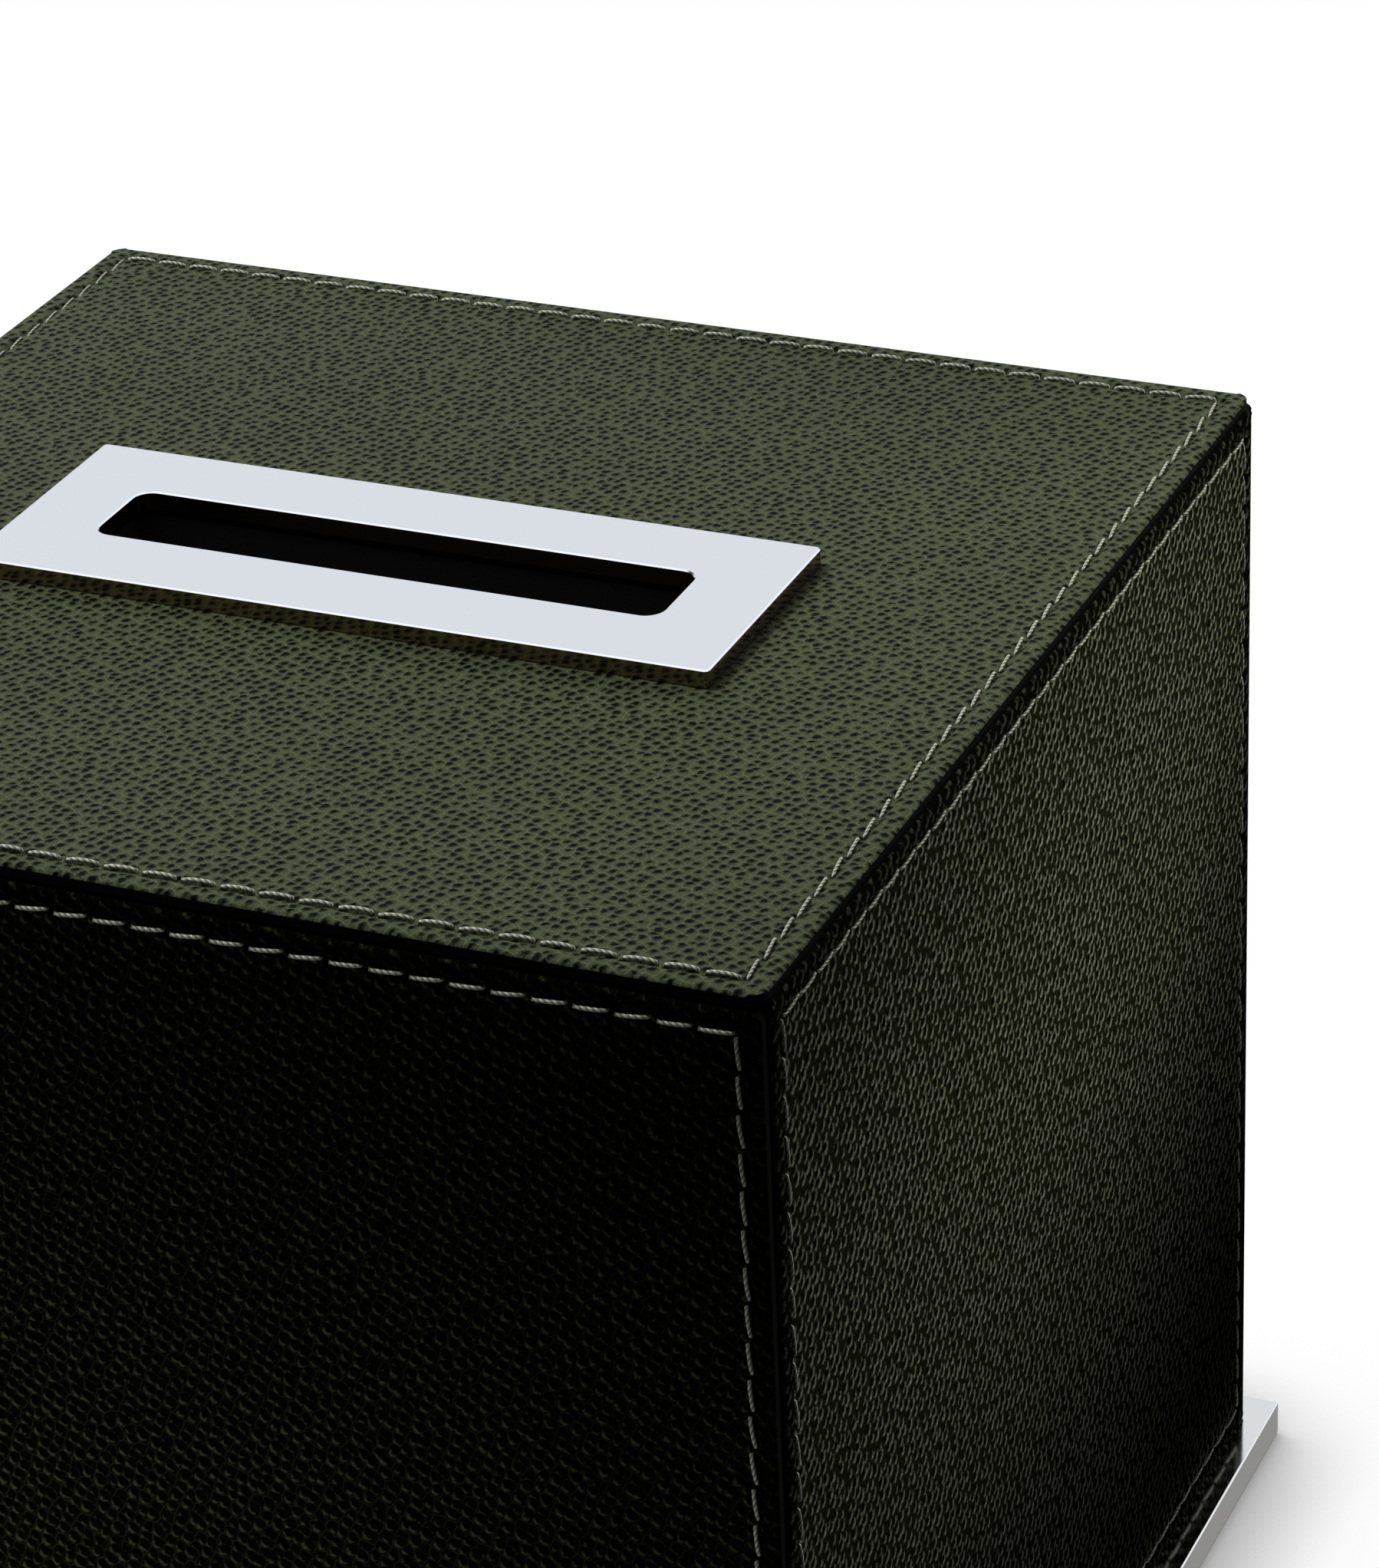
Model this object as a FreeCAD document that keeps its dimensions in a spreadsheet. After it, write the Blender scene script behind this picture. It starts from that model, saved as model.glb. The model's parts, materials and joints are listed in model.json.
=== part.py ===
import FreeCAD, Part
import math
import os

import Sketcher

# Cube tissue box with a drawer, in millimetres.
# Frame: origin at the centre of the case, on the surface that the box stands on. +Z is up, the
# drawer opens towards -Y and the slot runs along X.
# The case is five boards, mitred where they meet, covered in leather and lined inside. It stands
# on a metal plate. The whole front is the drawer's front, mitred into the case's mouth.

# ---------------------------------------------------------------------------------------------
# Driving dimensions: alias, value, what it is
# ---------------------------------------------------------------------------------------------
SIZES = (
    ("case_width", 140, "over the leather, along X"),
    ("case_depth", 140, "over the leather, along Y"),
    ("case_height", 132, "from the base plate to the top of the leather"),
    ("leather", 1.2, "thickness of the leather panels"),
    ("leather_setback", 0.4, "top, front and back panels stop short of the side panels' faces"),
    ("leather_round", 0.45, "radius on the panels' painted edges"),
    ("board", 6, "thickness of the case boards and the drawer's front board"),
    ("lining", 0.8, "thickness of the lining"),
    ("base_overhang", 3, "base plate beyond the leather, all round"),
    ("base_thickness", 4, "thickness of the base plate"),
    ("base_round", 0.25, "edge break on the base plate"),
    ("felt", 1.2, "thickness of the felt under the base plate"),
    ("felt_proud", 0.3, "felt below the base plate"),
    ("felt_border", 6, "metal border round the felt"),
    ("plate_border", 9.5, "top plate beyond its slot, all round"),
    ("plate_thickness", 2, "slotted top plate"),
    ("plate_corner", 0.6, "corner radius of the top plate"),
    ("plate_bevel", 0.15, "edge break on the top plate"),
    ("slot_length", 64, "slot in the top plate, along X"),
    ("slot_width", 11, "slot in the top plate, along Y"),
    ("slot_corner", 2, "corner radius of the slot"),
    ("cutout_margin", 1, "opening in the top board beyond the slot, each side"),
    ("stud_diameter", 2.5, "studs under the top plate"),
    ("stud_wall", 1.1, "board left between the slot's opening and the nuts' recesses"),
    ("stud_end_gap", 0.3, "stud's end above the top lining"),
    ("washer_diameter", 6, "washers on the studs"),
    ("washer_thickness", 0.5, "washers on the studs"),
    ("nut_flats", 5, "nuts on the studs, across the flats"),
    ("nut_height", 2, "nuts on the studs"),
    ("recess_play", 0.4, "radial clearance round washer and nut in the top board"),
    ("recess_room", 0.7, "top board's recess beyond washer and nut"),
    ("front_gap", 0.4, "running gap behind and above the drawer's front"),
    ("bottom_gap", 0.7, "gap between the drawer's front and the base plate"),
    ("drawer_height", 48, "height of the drawer's sides"),
    ("drawer_side", 4, "thickness of the drawer's sides, back and inner front"),
    ("side_clearance", 1, "drawer to lining, each side"),
    ("rear_clearance", 1, "drawer to back lining"),
    ("floor_clearance", 0.6, "drawer to floor lining, and front lining to top lining"),
    ("tray_bottom", 3, "thickness of the drawer's bottom"),
    ("tray_bottom_up", 3, "drawer's bottom above the sides' lower edge"),
    ("housing", 2, "depth of the housings that hold the drawer's bottom"),
    ("housing_play", 0.1, "housing's height over the bottom's thickness"),
    ("pad", 0.8, "pad on the drawer's bottom"),
    ("runner_height", 6, "runners on the case's walls"),
    ("runner_up", 25, "runners' lower edge above the drawer's lower edge"),
    ("runner_bite", 1.8, "runners' reach into the drawer's sides"),
    ("runner_play", 0.2, "runner to groove, above and below"),
    ("groove_play", 0.4, "runner to the groove's bottom and its closed end"),
    ("runner_setback", 8, "runners' front end from the case's mouth"),
    ("runner_rear", 2, "runners' rear end from the back lining"),
    ("stop_setback", 16.4, "stop block from the case's mouth; it sets the drawer's travel"),
    ("stop_length", 8, "stop block, along Y"),
    ("stop_width", 30, "stop block, along X"),
    ("stop_clearance", 0.6, "stop block to the drawer's bottom"),
    ("stop_screw_inset", 8, "stop screws from the stop block's ends"),
    ("magnet_diameter", 8, "catch magnets and strike discs"),
    ("magnet_length", 3, "catch magnets"),
    ("magnet_play", 0.1, "radial clearance round magnets and discs"),
    ("strike_thickness", 1.5, "strike discs"),
    ("catch_gap", 0.3, "magnet to strike disc"),
    ("catch_inset", 17, "catches from the drawer's sides"),
    ("catch_down", 10, "catches below the drawer's upper edge"),
    ("knob_up", 30, "knob's centre above the base plate"),
    ("knob_diameter", 12, "knob's head"),
    ("knob_head", 4.5, "thickness of the knob's head"),
    ("knob_round", 1, "edge radius of the knob's head"),
    ("knob_neck", 5.6, "diameter of the knob's neck"),
    ("knob_reach", 10, "knob's face from the leather"),
    ("knob_foot", 9, "diameter of the knob's foot"),
    ("knob_foot_thickness", 1, "thickness of the knob's foot"),
    ("knob_screw_diameter", 3, "screw that holds the knob"),
    ("knob_screw_bite", 5, "knob screw's reach into the knob"),
    ("knob_screw_head", 5.5, "head of the knob screw"),
    ("knob_screw_head_height", 1.6, "head of the knob screw"),
    ("screw_play", 0.1, "radial clearance round screws and studs"),
    ("base_screw_inset", 14.8, "base screws from the inside of the case boards"),
    ("base_screw_diameter", 3, "base screws"),
    ("base_screw_head", 6, "base screws' countersunk heads"),
    ("base_screw_bite", 5, "base screws' reach into the bottom board"),
    ("front_screw_inset", 19, "inner front's screws from the drawer's sides"),
    ("front_screw_up", 15, "lower row above the drawer's lower edge"),
    ("front_screw_down", 7, "upper row below the drawer's upper edge"),
    ("small_screw_diameter", 2.2, "screws of the inner front, runners and stop"),
    ("small_screw_head", 4.4, "heads of those screws"),
    ("small_screw_bite", 4.2, "reach of those screws into the board or block"),
    ("stop_screw_bite", 2, "reach of the stop's screws into the block"),
    ("runner_screw_inset", 17.2, "runner screws from the runners' ends"),
)

doc = FreeCAD.newDocument("tissue_box")
sheet = doc.addObject("Spreadsheet::Sheet", "Sizes")
for row, (alias, value, note) in enumerate(SIZES, start=1):
    sheet.set(f"A{row}", alias)
    sheet.set(f"B{row}", str(value))
    sheet.set(f"C{row}", note)
    sheet.setAlias(f"B{row}", alias)
doc.recompute()


# ---------------------------------------------------------------------------------------------
# Planes that several pieces share, as expressions on the sheet
# ---------------------------------------------------------------------------------------------
def total(*terms):
    """Return the sum of the terms as one bracketed expression."""
    return "(" + " + ".join(terms) + ")"


def less(first, *others):
    """Return the first term less the others as one bracketed expression."""
    return "(" + " - ".join((first,) + others) + ")"


def half(term):
    """Return half of a term."""
    return f"({term} / 2)"


def negative(term):
    """Return a term with its sign turned."""
    return f"(0 - {term})"


def middle(low, high):
    """Return the middle of two terms."""
    return f"(({low} + {high}) / 2)"


S = {alias: f"Sizes.{alias}" for alias, value, note in SIZES}

BASE_TOP = total(S["felt_proud"], S["base_thickness"])
CASE_TOP = total(BASE_TOP, S["case_height"])
SHELL_X = half(S["case_width"])
SHELL_Y = half(S["case_depth"])
PANEL_X = less(SHELL_X, S["leather_setback"])
PANEL_Y = less(SHELL_Y, S["leather_setback"])
BOARD_X = less(SHELL_X, S["leather"])
BOARD_Y = less(SHELL_Y, S["leather"])
BOARD_TOP = less(CASE_TOP, S["leather"])
INNER_X = less(BOARD_X, S["board"])
INNER_Y = less(BOARD_Y, S["board"])
CEILING = less(BOARD_TOP, S["board"])
MOUTH_OUTER = total(negative(BOARD_Y), S["front_gap"])
MOUTH_INNER = total(negative(INNER_Y), S["front_gap"])
FLOOR = total(BASE_TOP, S["board"])
BAY_X = less(INNER_X, S["lining"])
BAY_BACK = less(INNER_Y, S["lining"])
BAY_FLOOR = total(FLOOR, S["lining"])
BAY_TOP = less(CEILING, S["lining"])
FRONT_BOTTOM = total(BASE_TOP, S["bottom_gap"])
FRONT_TOP = less(BOARD_TOP, S["front_gap"])
TRAY_X = less(BAY_X, S["side_clearance"])
TRAY_INNER_X = less(TRAY_X, S["drawer_side"])
TRAY_FRONT = total(negative(INNER_Y), S["lining"])
TRAY_BACK = less(BAY_BACK, S["rear_clearance"])
TRAY_INNER_FRONT = total(TRAY_FRONT, S["drawer_side"])
TRAY_INNER_BACK = less(TRAY_BACK, S["drawer_side"])
TRAY_LOW = total(BAY_FLOOR, S["floor_clearance"])
TRAY_TOP = total(TRAY_LOW, S["drawer_height"])
TRAY_BOTTOM_LOW = total(TRAY_LOW, S["tray_bottom_up"])
TRAY_BOTTOM_TOP = total(TRAY_BOTTOM_LOW, S["tray_bottom"])
RUNNER_LOW = total(TRAY_LOW, S["runner_up"])
RUNNER_TOP = total(RUNNER_LOW, S["runner_height"])
RUNNER_FRONT = total(MOUTH_INNER, S["runner_setback"])
RUNNER_BACK = less(BAY_BACK, S["runner_rear"])
RUNNER_FACE = less(TRAY_X, S["runner_bite"])
STOP_FRONT = total(MOUTH_INNER, S["stop_setback"])
STOP_BACK = total(STOP_FRONT, S["stop_length"])
STOP_TOP = less(TRAY_BOTTOM_LOW, S["stop_clearance"])
OPENING_X = total(half(S["slot_length"]), S["cutout_margin"])
OPENING_Y = total(half(S["slot_width"]), S["cutout_margin"])
CATCH_Z = less(TRAY_TOP, S["catch_down"])
KNOB_Z = total(BASE_TOP, S["knob_up"])

# Turns that lay a piece's own Z axis, or a wedge's own Y axis, along the axis named.
UPRIGHT = FreeCAD.Rotation()
FACING_PLUS_X = FreeCAD.Rotation(FreeCAD.Vector(0, 1, 0), 90)
FACING_MINUS_X = FreeCAD.Rotation(FreeCAD.Vector(0, 1, 0), -90)
FACING_PLUS_Y = FreeCAD.Rotation(FreeCAD.Vector(1, 0, 0), -90)
FACING_MINUS_Y = FreeCAD.Rotation(FreeCAD.Vector(1, 0, 0), 90)
WEDGE_TO_PLUS_X = FreeCAD.Rotation(FreeCAD.Vector(0, 0, 1), -90)
WEDGE_TO_MINUS_X = FreeCAD.Rotation(FreeCAD.Vector(0, 0, 1), 90)
WEDGE_TO_PLUS_Z = FreeCAD.Rotation(FreeCAD.Vector(1, 0, 0), 90)

UP = FreeCAD.Vector(0, 0, 1)
FORWARD = FreeCAD.Vector(0, -1, 0)
BACKWARD = FreeCAD.Vector(0, 1, 0)

SIDES = (("left", -1), ("right", 1))
NUT_SIDES = 6
FULL_TURN = 360
TOUCHING = 1e-6
pieces = []


# ---------------------------------------------------------------------------------------------
# Small helpers
# ---------------------------------------------------------------------------------------------
def keep(piece):
    """Note a finished piece for the checks and the files, and return it."""
    pieces.append(piece)
    return piece


def bind(feature, **expressions):
    """Bind properties of a feature to expressions on the sheet."""
    for name, expression in expressions.items():
        feature.setExpression(name, expression)


def place(feature, x, y, z, turn=UPRIGHT):
    """Turn a feature and bind its position to expressions."""
    feature.Placement = FreeCAD.Placement(FreeCAD.Vector(0, 0, 0), turn)
    for axis, expression in (("x", x), ("y", y), ("z", z)):
        feature.setExpression(f"Placement.Base.{axis}", expression)
    return feature


def block(label, x, y, z):
    """Make a box from its low and high expressions along each axis."""
    box = doc.addObject("Part::Box", label)
    bind(box, Length=less(x[1], x[0]), Width=less(y[1], y[0]), Height=less(z[1], z[0]))
    return place(box, x[0], y[0], z[0])


def rod(label, radius, length, at, turn=UPRIGHT):
    """Make a round bar that starts at a point and runs along the turned Z axis."""
    bar = doc.addObject("Part::Cylinder", label)
    bind(bar, Radius=radius, Height=length)
    return place(bar, *at, turn)


def cut(label, blank, tools):
    """Cut the tools from a blank one after the other and give the result its label."""
    for number, tool in enumerate(tools, start=1):
        result = doc.addObject("Part::Cut", f"{label}_cut{number}")
        result.Base = blank
        result.Tool = tool
        blank = result
    blank.Label = label
    return blank


def group(label, members):
    """Gather separate solids that share one name."""
    gathered = doc.addObject("Part::Compound", label)
    gathered.Links = members
    return gathered


def countersunk(label, shank, head, length, at, turn, play="0"):
    """Make a countersunk screw, or the hole for it where play is given.

    The head's flat face lies at the point, and the screw runs along the turned Z axis.
    """
    bevel = doc.addObject("Part::Cone", f"{label}_head")
    bind(bevel, Radius1=total(half(head), play), Radius2=total(half(shank), play))
    bind(bevel, Height=half(less(head, shank)))
    bar = doc.addObject("Part::Cylinder", f"{label}_shank")
    bind(bar, Radius=total(half(shank), play), Height=total(length, play))
    screw = doc.addObject("Part::Fuse", label)
    screw.Base = bevel
    screw.Tool = bar
    return place(screw, *at, turn)


def screws_and_holes(label, shank, head, length, points, turn):
    """Make a set of equal countersunk screws, and the tools that cut their holes."""
    screws = []
    holes = []
    for number, at in enumerate(points, start=1):
        screws.append(countersunk(f"{label}_{number}", shank, head, length, at, turn))
        hole = f"{label}_hole_{number}"
        holes.append(countersunk(hole, shank, head, length, at, turn, S["screw_play"]))
    return screws, holes


def mitred(label, near, far, turn=UPRIGHT):
    """Make a board that widens or narrows from one face to the other.

    near and far are the faces across the wedge's own Y axis: each its level, then its low and
    high X, then its low and high Z.
    """
    board = doc.addObject("Part::Wedge", label)
    level, (x_low, x_high), (z_low, z_high) = near
    bind(board, Ymin=level, Xmin=x_low, Xmax=x_high, Zmin=z_low, Zmax=z_high)
    level, (x_low, x_high), (z_low, z_high) = far
    bind(board, Ymax=level, X2min=x_low, X2max=x_high, Z2min=z_low, Z2max=z_high)
    board.Placement = FreeCAD.Placement(FreeCAD.Vector(0, 0, 0), turn)
    return board


def attached_sketch(body, name, role, offset=("0", "0", "0")):
    """Put an empty sketch on one of the body's own origin planes, moved by an offset."""
    sketch = body.newObject("Sketcher::SketchObject", name)
    plane = next(item for item in body.Origin.OriginFeatures if item.Role == role)
    sketch.AttachmentSupport = [(plane, "")]
    sketch.MapMode = "FlatFace"
    for axis, expression in zip("xyz", offset):
        sketch.setExpression(f"AttachmentOffset.Base.{axis}", expression)
    return sketch


def outline(sketch, points):
    """Draw a closed outline of level and upright lines, the first of them level."""
    count = len(points)
    for number, (u, v) in enumerate(points):
        next_u, next_v = points[(number + 1) % count]
        sketch.addGeometry(Part.LineSegment(FreeCAD.Vector(u, v, 0), FreeCAD.Vector(next_u, next_v, 0)))
    for number in range(count):
        sketch.addConstraint(Sketcher.Constraint("Coincident", number, 2, (number + 1) % count, 1))
        way = "Horizontal" if number % 2 == 0 else "Vertical"
        sketch.addConstraint(Sketcher.Constraint(way, number))


def dimension(sketch, name, kind, first, second, expression):
    """Add a named distance between two sketch points and bind it to an expression."""
    index = sketch.addConstraint(Sketcher.Constraint(kind, *first, *second, 1.0))
    sketch.renameConstraint(index, name)
    sketch.setExpression(f"Constraints.{name}", expression)


def rectangle(body, name, role, size, offset):
    """Sketch a rectangle of the given size, centred on the offset."""
    sketch = attached_sketch(body, name, role, offset)
    outline(sketch, ((-1, -1), (1, -1), (1, 1), (-1, 1)))
    sketch.addConstraint(Sketcher.Constraint("Symmetric", 0, 1, 1, 2, -1, 1))
    dimension(sketch, "width", "DistanceX", (0, 1), (0, 2), size[0])
    dimension(sketch, "height", "DistanceY", (1, 1), (1, 2), size[1])
    return sketch


def pad(body, name, sketch, depth, reverse=False):
    """Pad a sketch by a bound depth."""
    feature = body.newObject("PartDesign::Pad", name)
    feature.Profile = sketch
    feature.Reversed = reverse
    bind(feature, Length=depth)
    doc.recompute()
    return feature


def pocket(body, name, sketch, depth, reverse=False):
    """Pocket a sketch by a bound depth and make sure that it cuts."""
    before = body.Shape.Volume
    feature = body.newObject("PartDesign::Pocket", name)
    feature.Profile = sketch
    feature.Reversed = reverse
    bind(feature, Length=depth)
    doc.recompute()
    if not body.Shape.Volume < before:
        raise RuntimeError(f"{name} cuts nothing")
    return feature


def edges_furthest(shape, way):
    """Name the edges whose points all lie furthest along a direction."""
    reach = max(vertex.Point.dot(way) for vertex in shape.Vertexes)
    names = []
    for number, edge in enumerate(shape.Edges, start=1):
        if all(abs(vertex.Point.dot(way) - reach) < TOUCHING for vertex in edge.Vertexes):
            names.append(f"Edge{number}")
    return names


def edges_along(shape, way, inside=None):
    """Name the straight edges that run along a direction, all or only those in a box about Z."""
    names = []
    for number, edge in enumerate(shape.Edges, start=1):
        first, last = edge.Vertexes[0].Point, edge.Vertexes[-1].Point
        run = last - first
        if run.Length < TOUCHING or abs(abs(run.normalize().dot(way)) - 1) > TOUCHING:
            continue
        if inside is None or (abs(first.x) < inside[0] and abs(first.y) < inside[1]):
            names.append(f"Edge{number}")
    return names


def dress(body, kind, name, edges, property_name, expression):
    """Fillet or chamfer named edges of the body's last feature by a bound size."""
    last = body.Tip
    feature = body.newObject(f"PartDesign::{kind}", name)
    feature.Base = (last, edges)
    bind(feature, **{property_name: expression})
    doc.recompute()
    return feature


def leather_panel(label, role, size, offset, outward, reverse):
    """Make a leather panel: a thin pad with rounded edges on its outer face."""
    body = doc.addObject("PartDesign::Body", label)
    sketch = rectangle(body, f"{label}_outline", role, size, offset)
    pad(body, f"{label}_pad", sketch, S["leather"], reverse)
    edges = edges_furthest(body.Shape, outward)
    dress(body, "Fillet", f"{label}_edges", edges, "Radius", S["leather_round"])
    return body


# ---------------------------------------------------------------------------------------------
# Base: metal plate, felt let into its underside, and the screws that hold the case to it
# ---------------------------------------------------------------------------------------------
def make_base():
    """Make the base and return the tools that carry its screw holes on into the case."""
    body = doc.addObject("PartDesign::Body", "base_plate_blank")
    full = [total(S[span], S["base_overhang"], S["base_overhang"]) for span in ("case_width", "case_depth")]
    sketch = rectangle(body, "base_outline", "XY_Plane", full, ("0", "0", S["felt_proud"]))
    pad(body, "base_pad", sketch, S["base_thickness"])
    upright = edges_along(body.Shape, UP)
    dress(body, "Fillet", "base_corners", upright, "Radius", S["base_round"])
    upper = edges_furthest(body.Shape, UP)
    dress(body, "Fillet", "base_rim", upper, "Radius", S["base_round"])
    inner = [less(span, S["felt_border"], S["felt_border"]) for span in full]
    sketch = rectangle(body, "felt_outline", "XY_Plane", inner, ("0", "0", S["felt_proud"]))
    pocket(body, "felt_recess", sketch, less(S["felt"], S["felt_proud"]), reverse=True)

    points = []
    for x_side in (-1, 1):
        for y_side in (-1, 1):
            x = f"({x_side} * {less(INNER_X, S['base_screw_inset'])})"
            y = f"({y_side} * {less(INNER_Y, S['base_screw_inset'])})"
            points.append((x, y, S["felt"]))
    length = total(less(BASE_TOP, S["felt"]), S["base_screw_bite"])
    shank, head = S["base_screw_diameter"], S["base_screw_head"]
    screws, holes = screws_and_holes("base_screw", shank, head, length, points, UPRIGHT)
    keep(cut("base_plate", body, holes))
    keep(group("base_screws", screws))
    felt_x, felt_y = half(inner[0]), half(inner[1])
    span_x, span_y = (negative(felt_x), felt_x), (negative(felt_y), felt_y)
    keep(block("base_felt", span_x, span_y, ("0", S["felt"])))
    return holes


# ---------------------------------------------------------------------------------------------
# Drawer guides in the case: runners, stop and catch
# ---------------------------------------------------------------------------------------------
def make_runners():
    """Make the two runners and return each side's screw holes."""
    holes_by_side = {}
    all_screws = []
    for side, sign in SIDES:
        face = f"({sign} * {RUNNER_FACE})"
        wall = f"({sign} * {BAY_X})"
        span_x = (face, wall) if sign > 0 else (wall, face)
        blank = block(f"runner_{side}_blank", span_x, (RUNNER_FRONT, RUNNER_BACK), (RUNNER_LOW, RUNNER_TOP))
        first, last = total(RUNNER_FRONT, S["runner_screw_inset"]), less(RUNNER_BACK, S["runner_screw_inset"])
        points = [(face, y, middle(RUNNER_LOW, RUNNER_TOP)) for y in (first, last)]
        length = total(less(BAY_X, RUNNER_FACE), S["lining"], S["small_screw_bite"])
        shank, head = S["small_screw_diameter"], S["small_screw_head"]
        turn = FACING_PLUS_X if sign > 0 else FACING_MINUS_X
        screws, holes = screws_and_holes(f"runner_screw_{side}", shank, head, length, points, turn)
        keep(cut(f"runner_{side}", blank, holes))
        all_screws += screws
        holes_by_side[side] = holes
    keep(group("runner_screws", all_screws))
    return holes_by_side


def make_stop():
    """Make the stop block, screwed on from below, and return its screw holes."""
    reach = half(S["stop_width"])
    blank = block("stop_blank", (negative(reach), reach), (STOP_FRONT, STOP_BACK), (BAY_FLOOR, STOP_TOP))
    points = []
    for way in (-1, 1):
        x = f"({way} * {less(reach, S['stop_screw_inset'])})"
        points.append((x, middle(STOP_FRONT, STOP_BACK), BASE_TOP))
    length = total(S["board"], S["lining"], S["stop_screw_bite"])
    shank, head = S["small_screw_diameter"], S["small_screw_head"]
    screws, holes = screws_and_holes("stop_screw", shank, head, length, points, UPRIGHT)
    keep(cut("stop_block", blank, holes))
    keep(group("stop_screws", screws))
    return holes


def make_catch():
    """Make the catch magnets and strike discs, and return the bores for each."""
    radius = half(S["magnet_diameter"])
    bore_radius = total(radius, S["magnet_play"])
    bore_length = total(S["magnet_length"], S["magnet_play"])
    strike_y = less(BAY_BACK, S["catch_gap"], S["strike_thickness"])
    magnets, strikes, bores, recesses = [], [], [], []
    for side, sign in SIDES:
        x = f"({sign} * {less(TRAY_INNER_X, S['catch_inset'])})"
        at = (x, BAY_BACK, CATCH_Z)
        magnets.append(rod(f"magnet_{side}", radius, S["magnet_length"], at, FACING_PLUS_Y))
        bores.append(rod(f"magnet_bore_{side}", bore_radius, bore_length, at, FACING_PLUS_Y))
        at = (x, strike_y, CATCH_Z)
        strikes.append(rod(f"strike_{side}", radius, S["strike_thickness"], at, FACING_PLUS_Y))
        recesses.append(rod(f"strike_recess_{side}", bore_radius, bore_length, at, FACING_PLUS_Y))
    keep(group("catch_magnets", magnets))
    keep(group("strike_discs", strikes))
    return bores, recesses


# ---------------------------------------------------------------------------------------------
# Case: mitred boards, leather outside and lining inside
# ---------------------------------------------------------------------------------------------
def make_boards(base_holes, runner_holes, stop_holes, magnet_bores, top_tools):
    """Make the five boards of the case."""
    span_x, span_y = (negative(INNER_X), INNER_X), (MOUTH_INNER, INNER_Y)
    floor_blank = block("board_bottom_blank", span_x, span_y, (BASE_TOP, FLOOR))
    keep(cut("board_bottom", floor_blank, base_holes + stop_holes))

    # The side boards' wedges lie on their sides, so that their own X axis runs along the case's Y.
    forward = {
        "left": ((MOUTH_INNER, INNER_Y), (MOUTH_OUTER, BOARD_Y), WEDGE_TO_MINUS_X),
        "right": (
            (negative(INNER_Y), negative(MOUTH_INNER)),
            (negative(BOARD_Y), negative(MOUTH_OUTER)),
            WEDGE_TO_PLUS_X,
        ),
    }
    for side, (inner, outer, turn) in forward.items():
        near = (INNER_X, inner, (BASE_TOP, CEILING))
        far = (BOARD_X, outer, (BASE_TOP, BOARD_TOP))
        keep(cut(f"board_{side}", mitred(f"board_{side}_blank", near, far, turn), runner_holes[side]))

    near = (INNER_Y, (negative(INNER_X), INNER_X), (BASE_TOP, CEILING))
    far = (BOARD_Y, (negative(BOARD_X), BOARD_X), (BASE_TOP, BOARD_TOP))
    keep(cut("board_back", mitred("board_back_blank", near, far), magnet_bores))

    near = (CEILING, (negative(INNER_X), INNER_X), (negative(INNER_Y), negative(MOUTH_INNER)))
    far = (BOARD_TOP, (negative(BOARD_X), BOARD_X), (negative(BOARD_Y), negative(MOUTH_OUTER)))
    keep(cut("board_top", mitred("board_top_blank", near, far, WEDGE_TO_PLUS_Z), top_tools))


def make_leather(top_tools):
    """Make the case's four leather panels."""
    height = less(BOARD_TOP, BASE_TOP)
    centre_z = middle(BASE_TOP, BOARD_TOP)
    depth = less(BOARD_Y, MOUTH_OUTER)
    centre_y = middle(MOUTH_OUTER, BOARD_Y)
    for side, sign in SIDES:
        offset = (centre_y, centre_z, f"({sign} * {BOARD_X})")
        outward = FreeCAD.Vector(sign, 0, 0)
        keep(leather_panel(f"leather_{side}", "YZ_Plane", (depth, height), offset, outward, sign < 0))
    width = total(PANEL_X, PANEL_X)
    offset = ("0", centre_z, negative(BOARD_Y))
    keep(leather_panel("leather_back", "XZ_Plane", (width, height), offset, BACKWARD, True))
    size = (width, total(PANEL_Y, PANEL_Y))
    sheet_body = leather_panel("leather_top_sheet", "XY_Plane", size, ("0", "0", BOARD_TOP), UP, False)
    keep(cut("leather_top", sheet_body, top_tools))


def make_linings(runner_holes, stop_holes, magnet_bores, top_tools):
    """Make the lining of the bay: floor and ceiling, walls between them, back between the walls."""
    whole_x, whole_y = (negative(INNER_X), INNER_X), (MOUTH_INNER, INNER_Y)
    between_z = (BAY_FLOOR, BAY_TOP)
    floor_blank = block("lining_floor_blank", whole_x, whole_y, (FLOOR, BAY_FLOOR))
    keep(cut("lining_floor", floor_blank, stop_holes))
    top_blank = block("lining_top_blank", whole_x, whole_y, (BAY_TOP, CEILING))
    keep(cut("lining_top", top_blank, top_tools))
    for side, sign in SIDES:
        span_x = (BAY_X, INNER_X) if sign > 0 else (negative(INNER_X), negative(BAY_X))
        blank = block(f"lining_{side}_blank", span_x, whole_y, between_z)
        keep(cut(f"lining_{side}", blank, runner_holes[side]))
    back_blank = block("lining_back_blank", (negative(BAY_X), BAY_X), (BAY_BACK, INNER_Y), between_z)
    keep(cut("lining_back", back_blank, magnet_bores))


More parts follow.
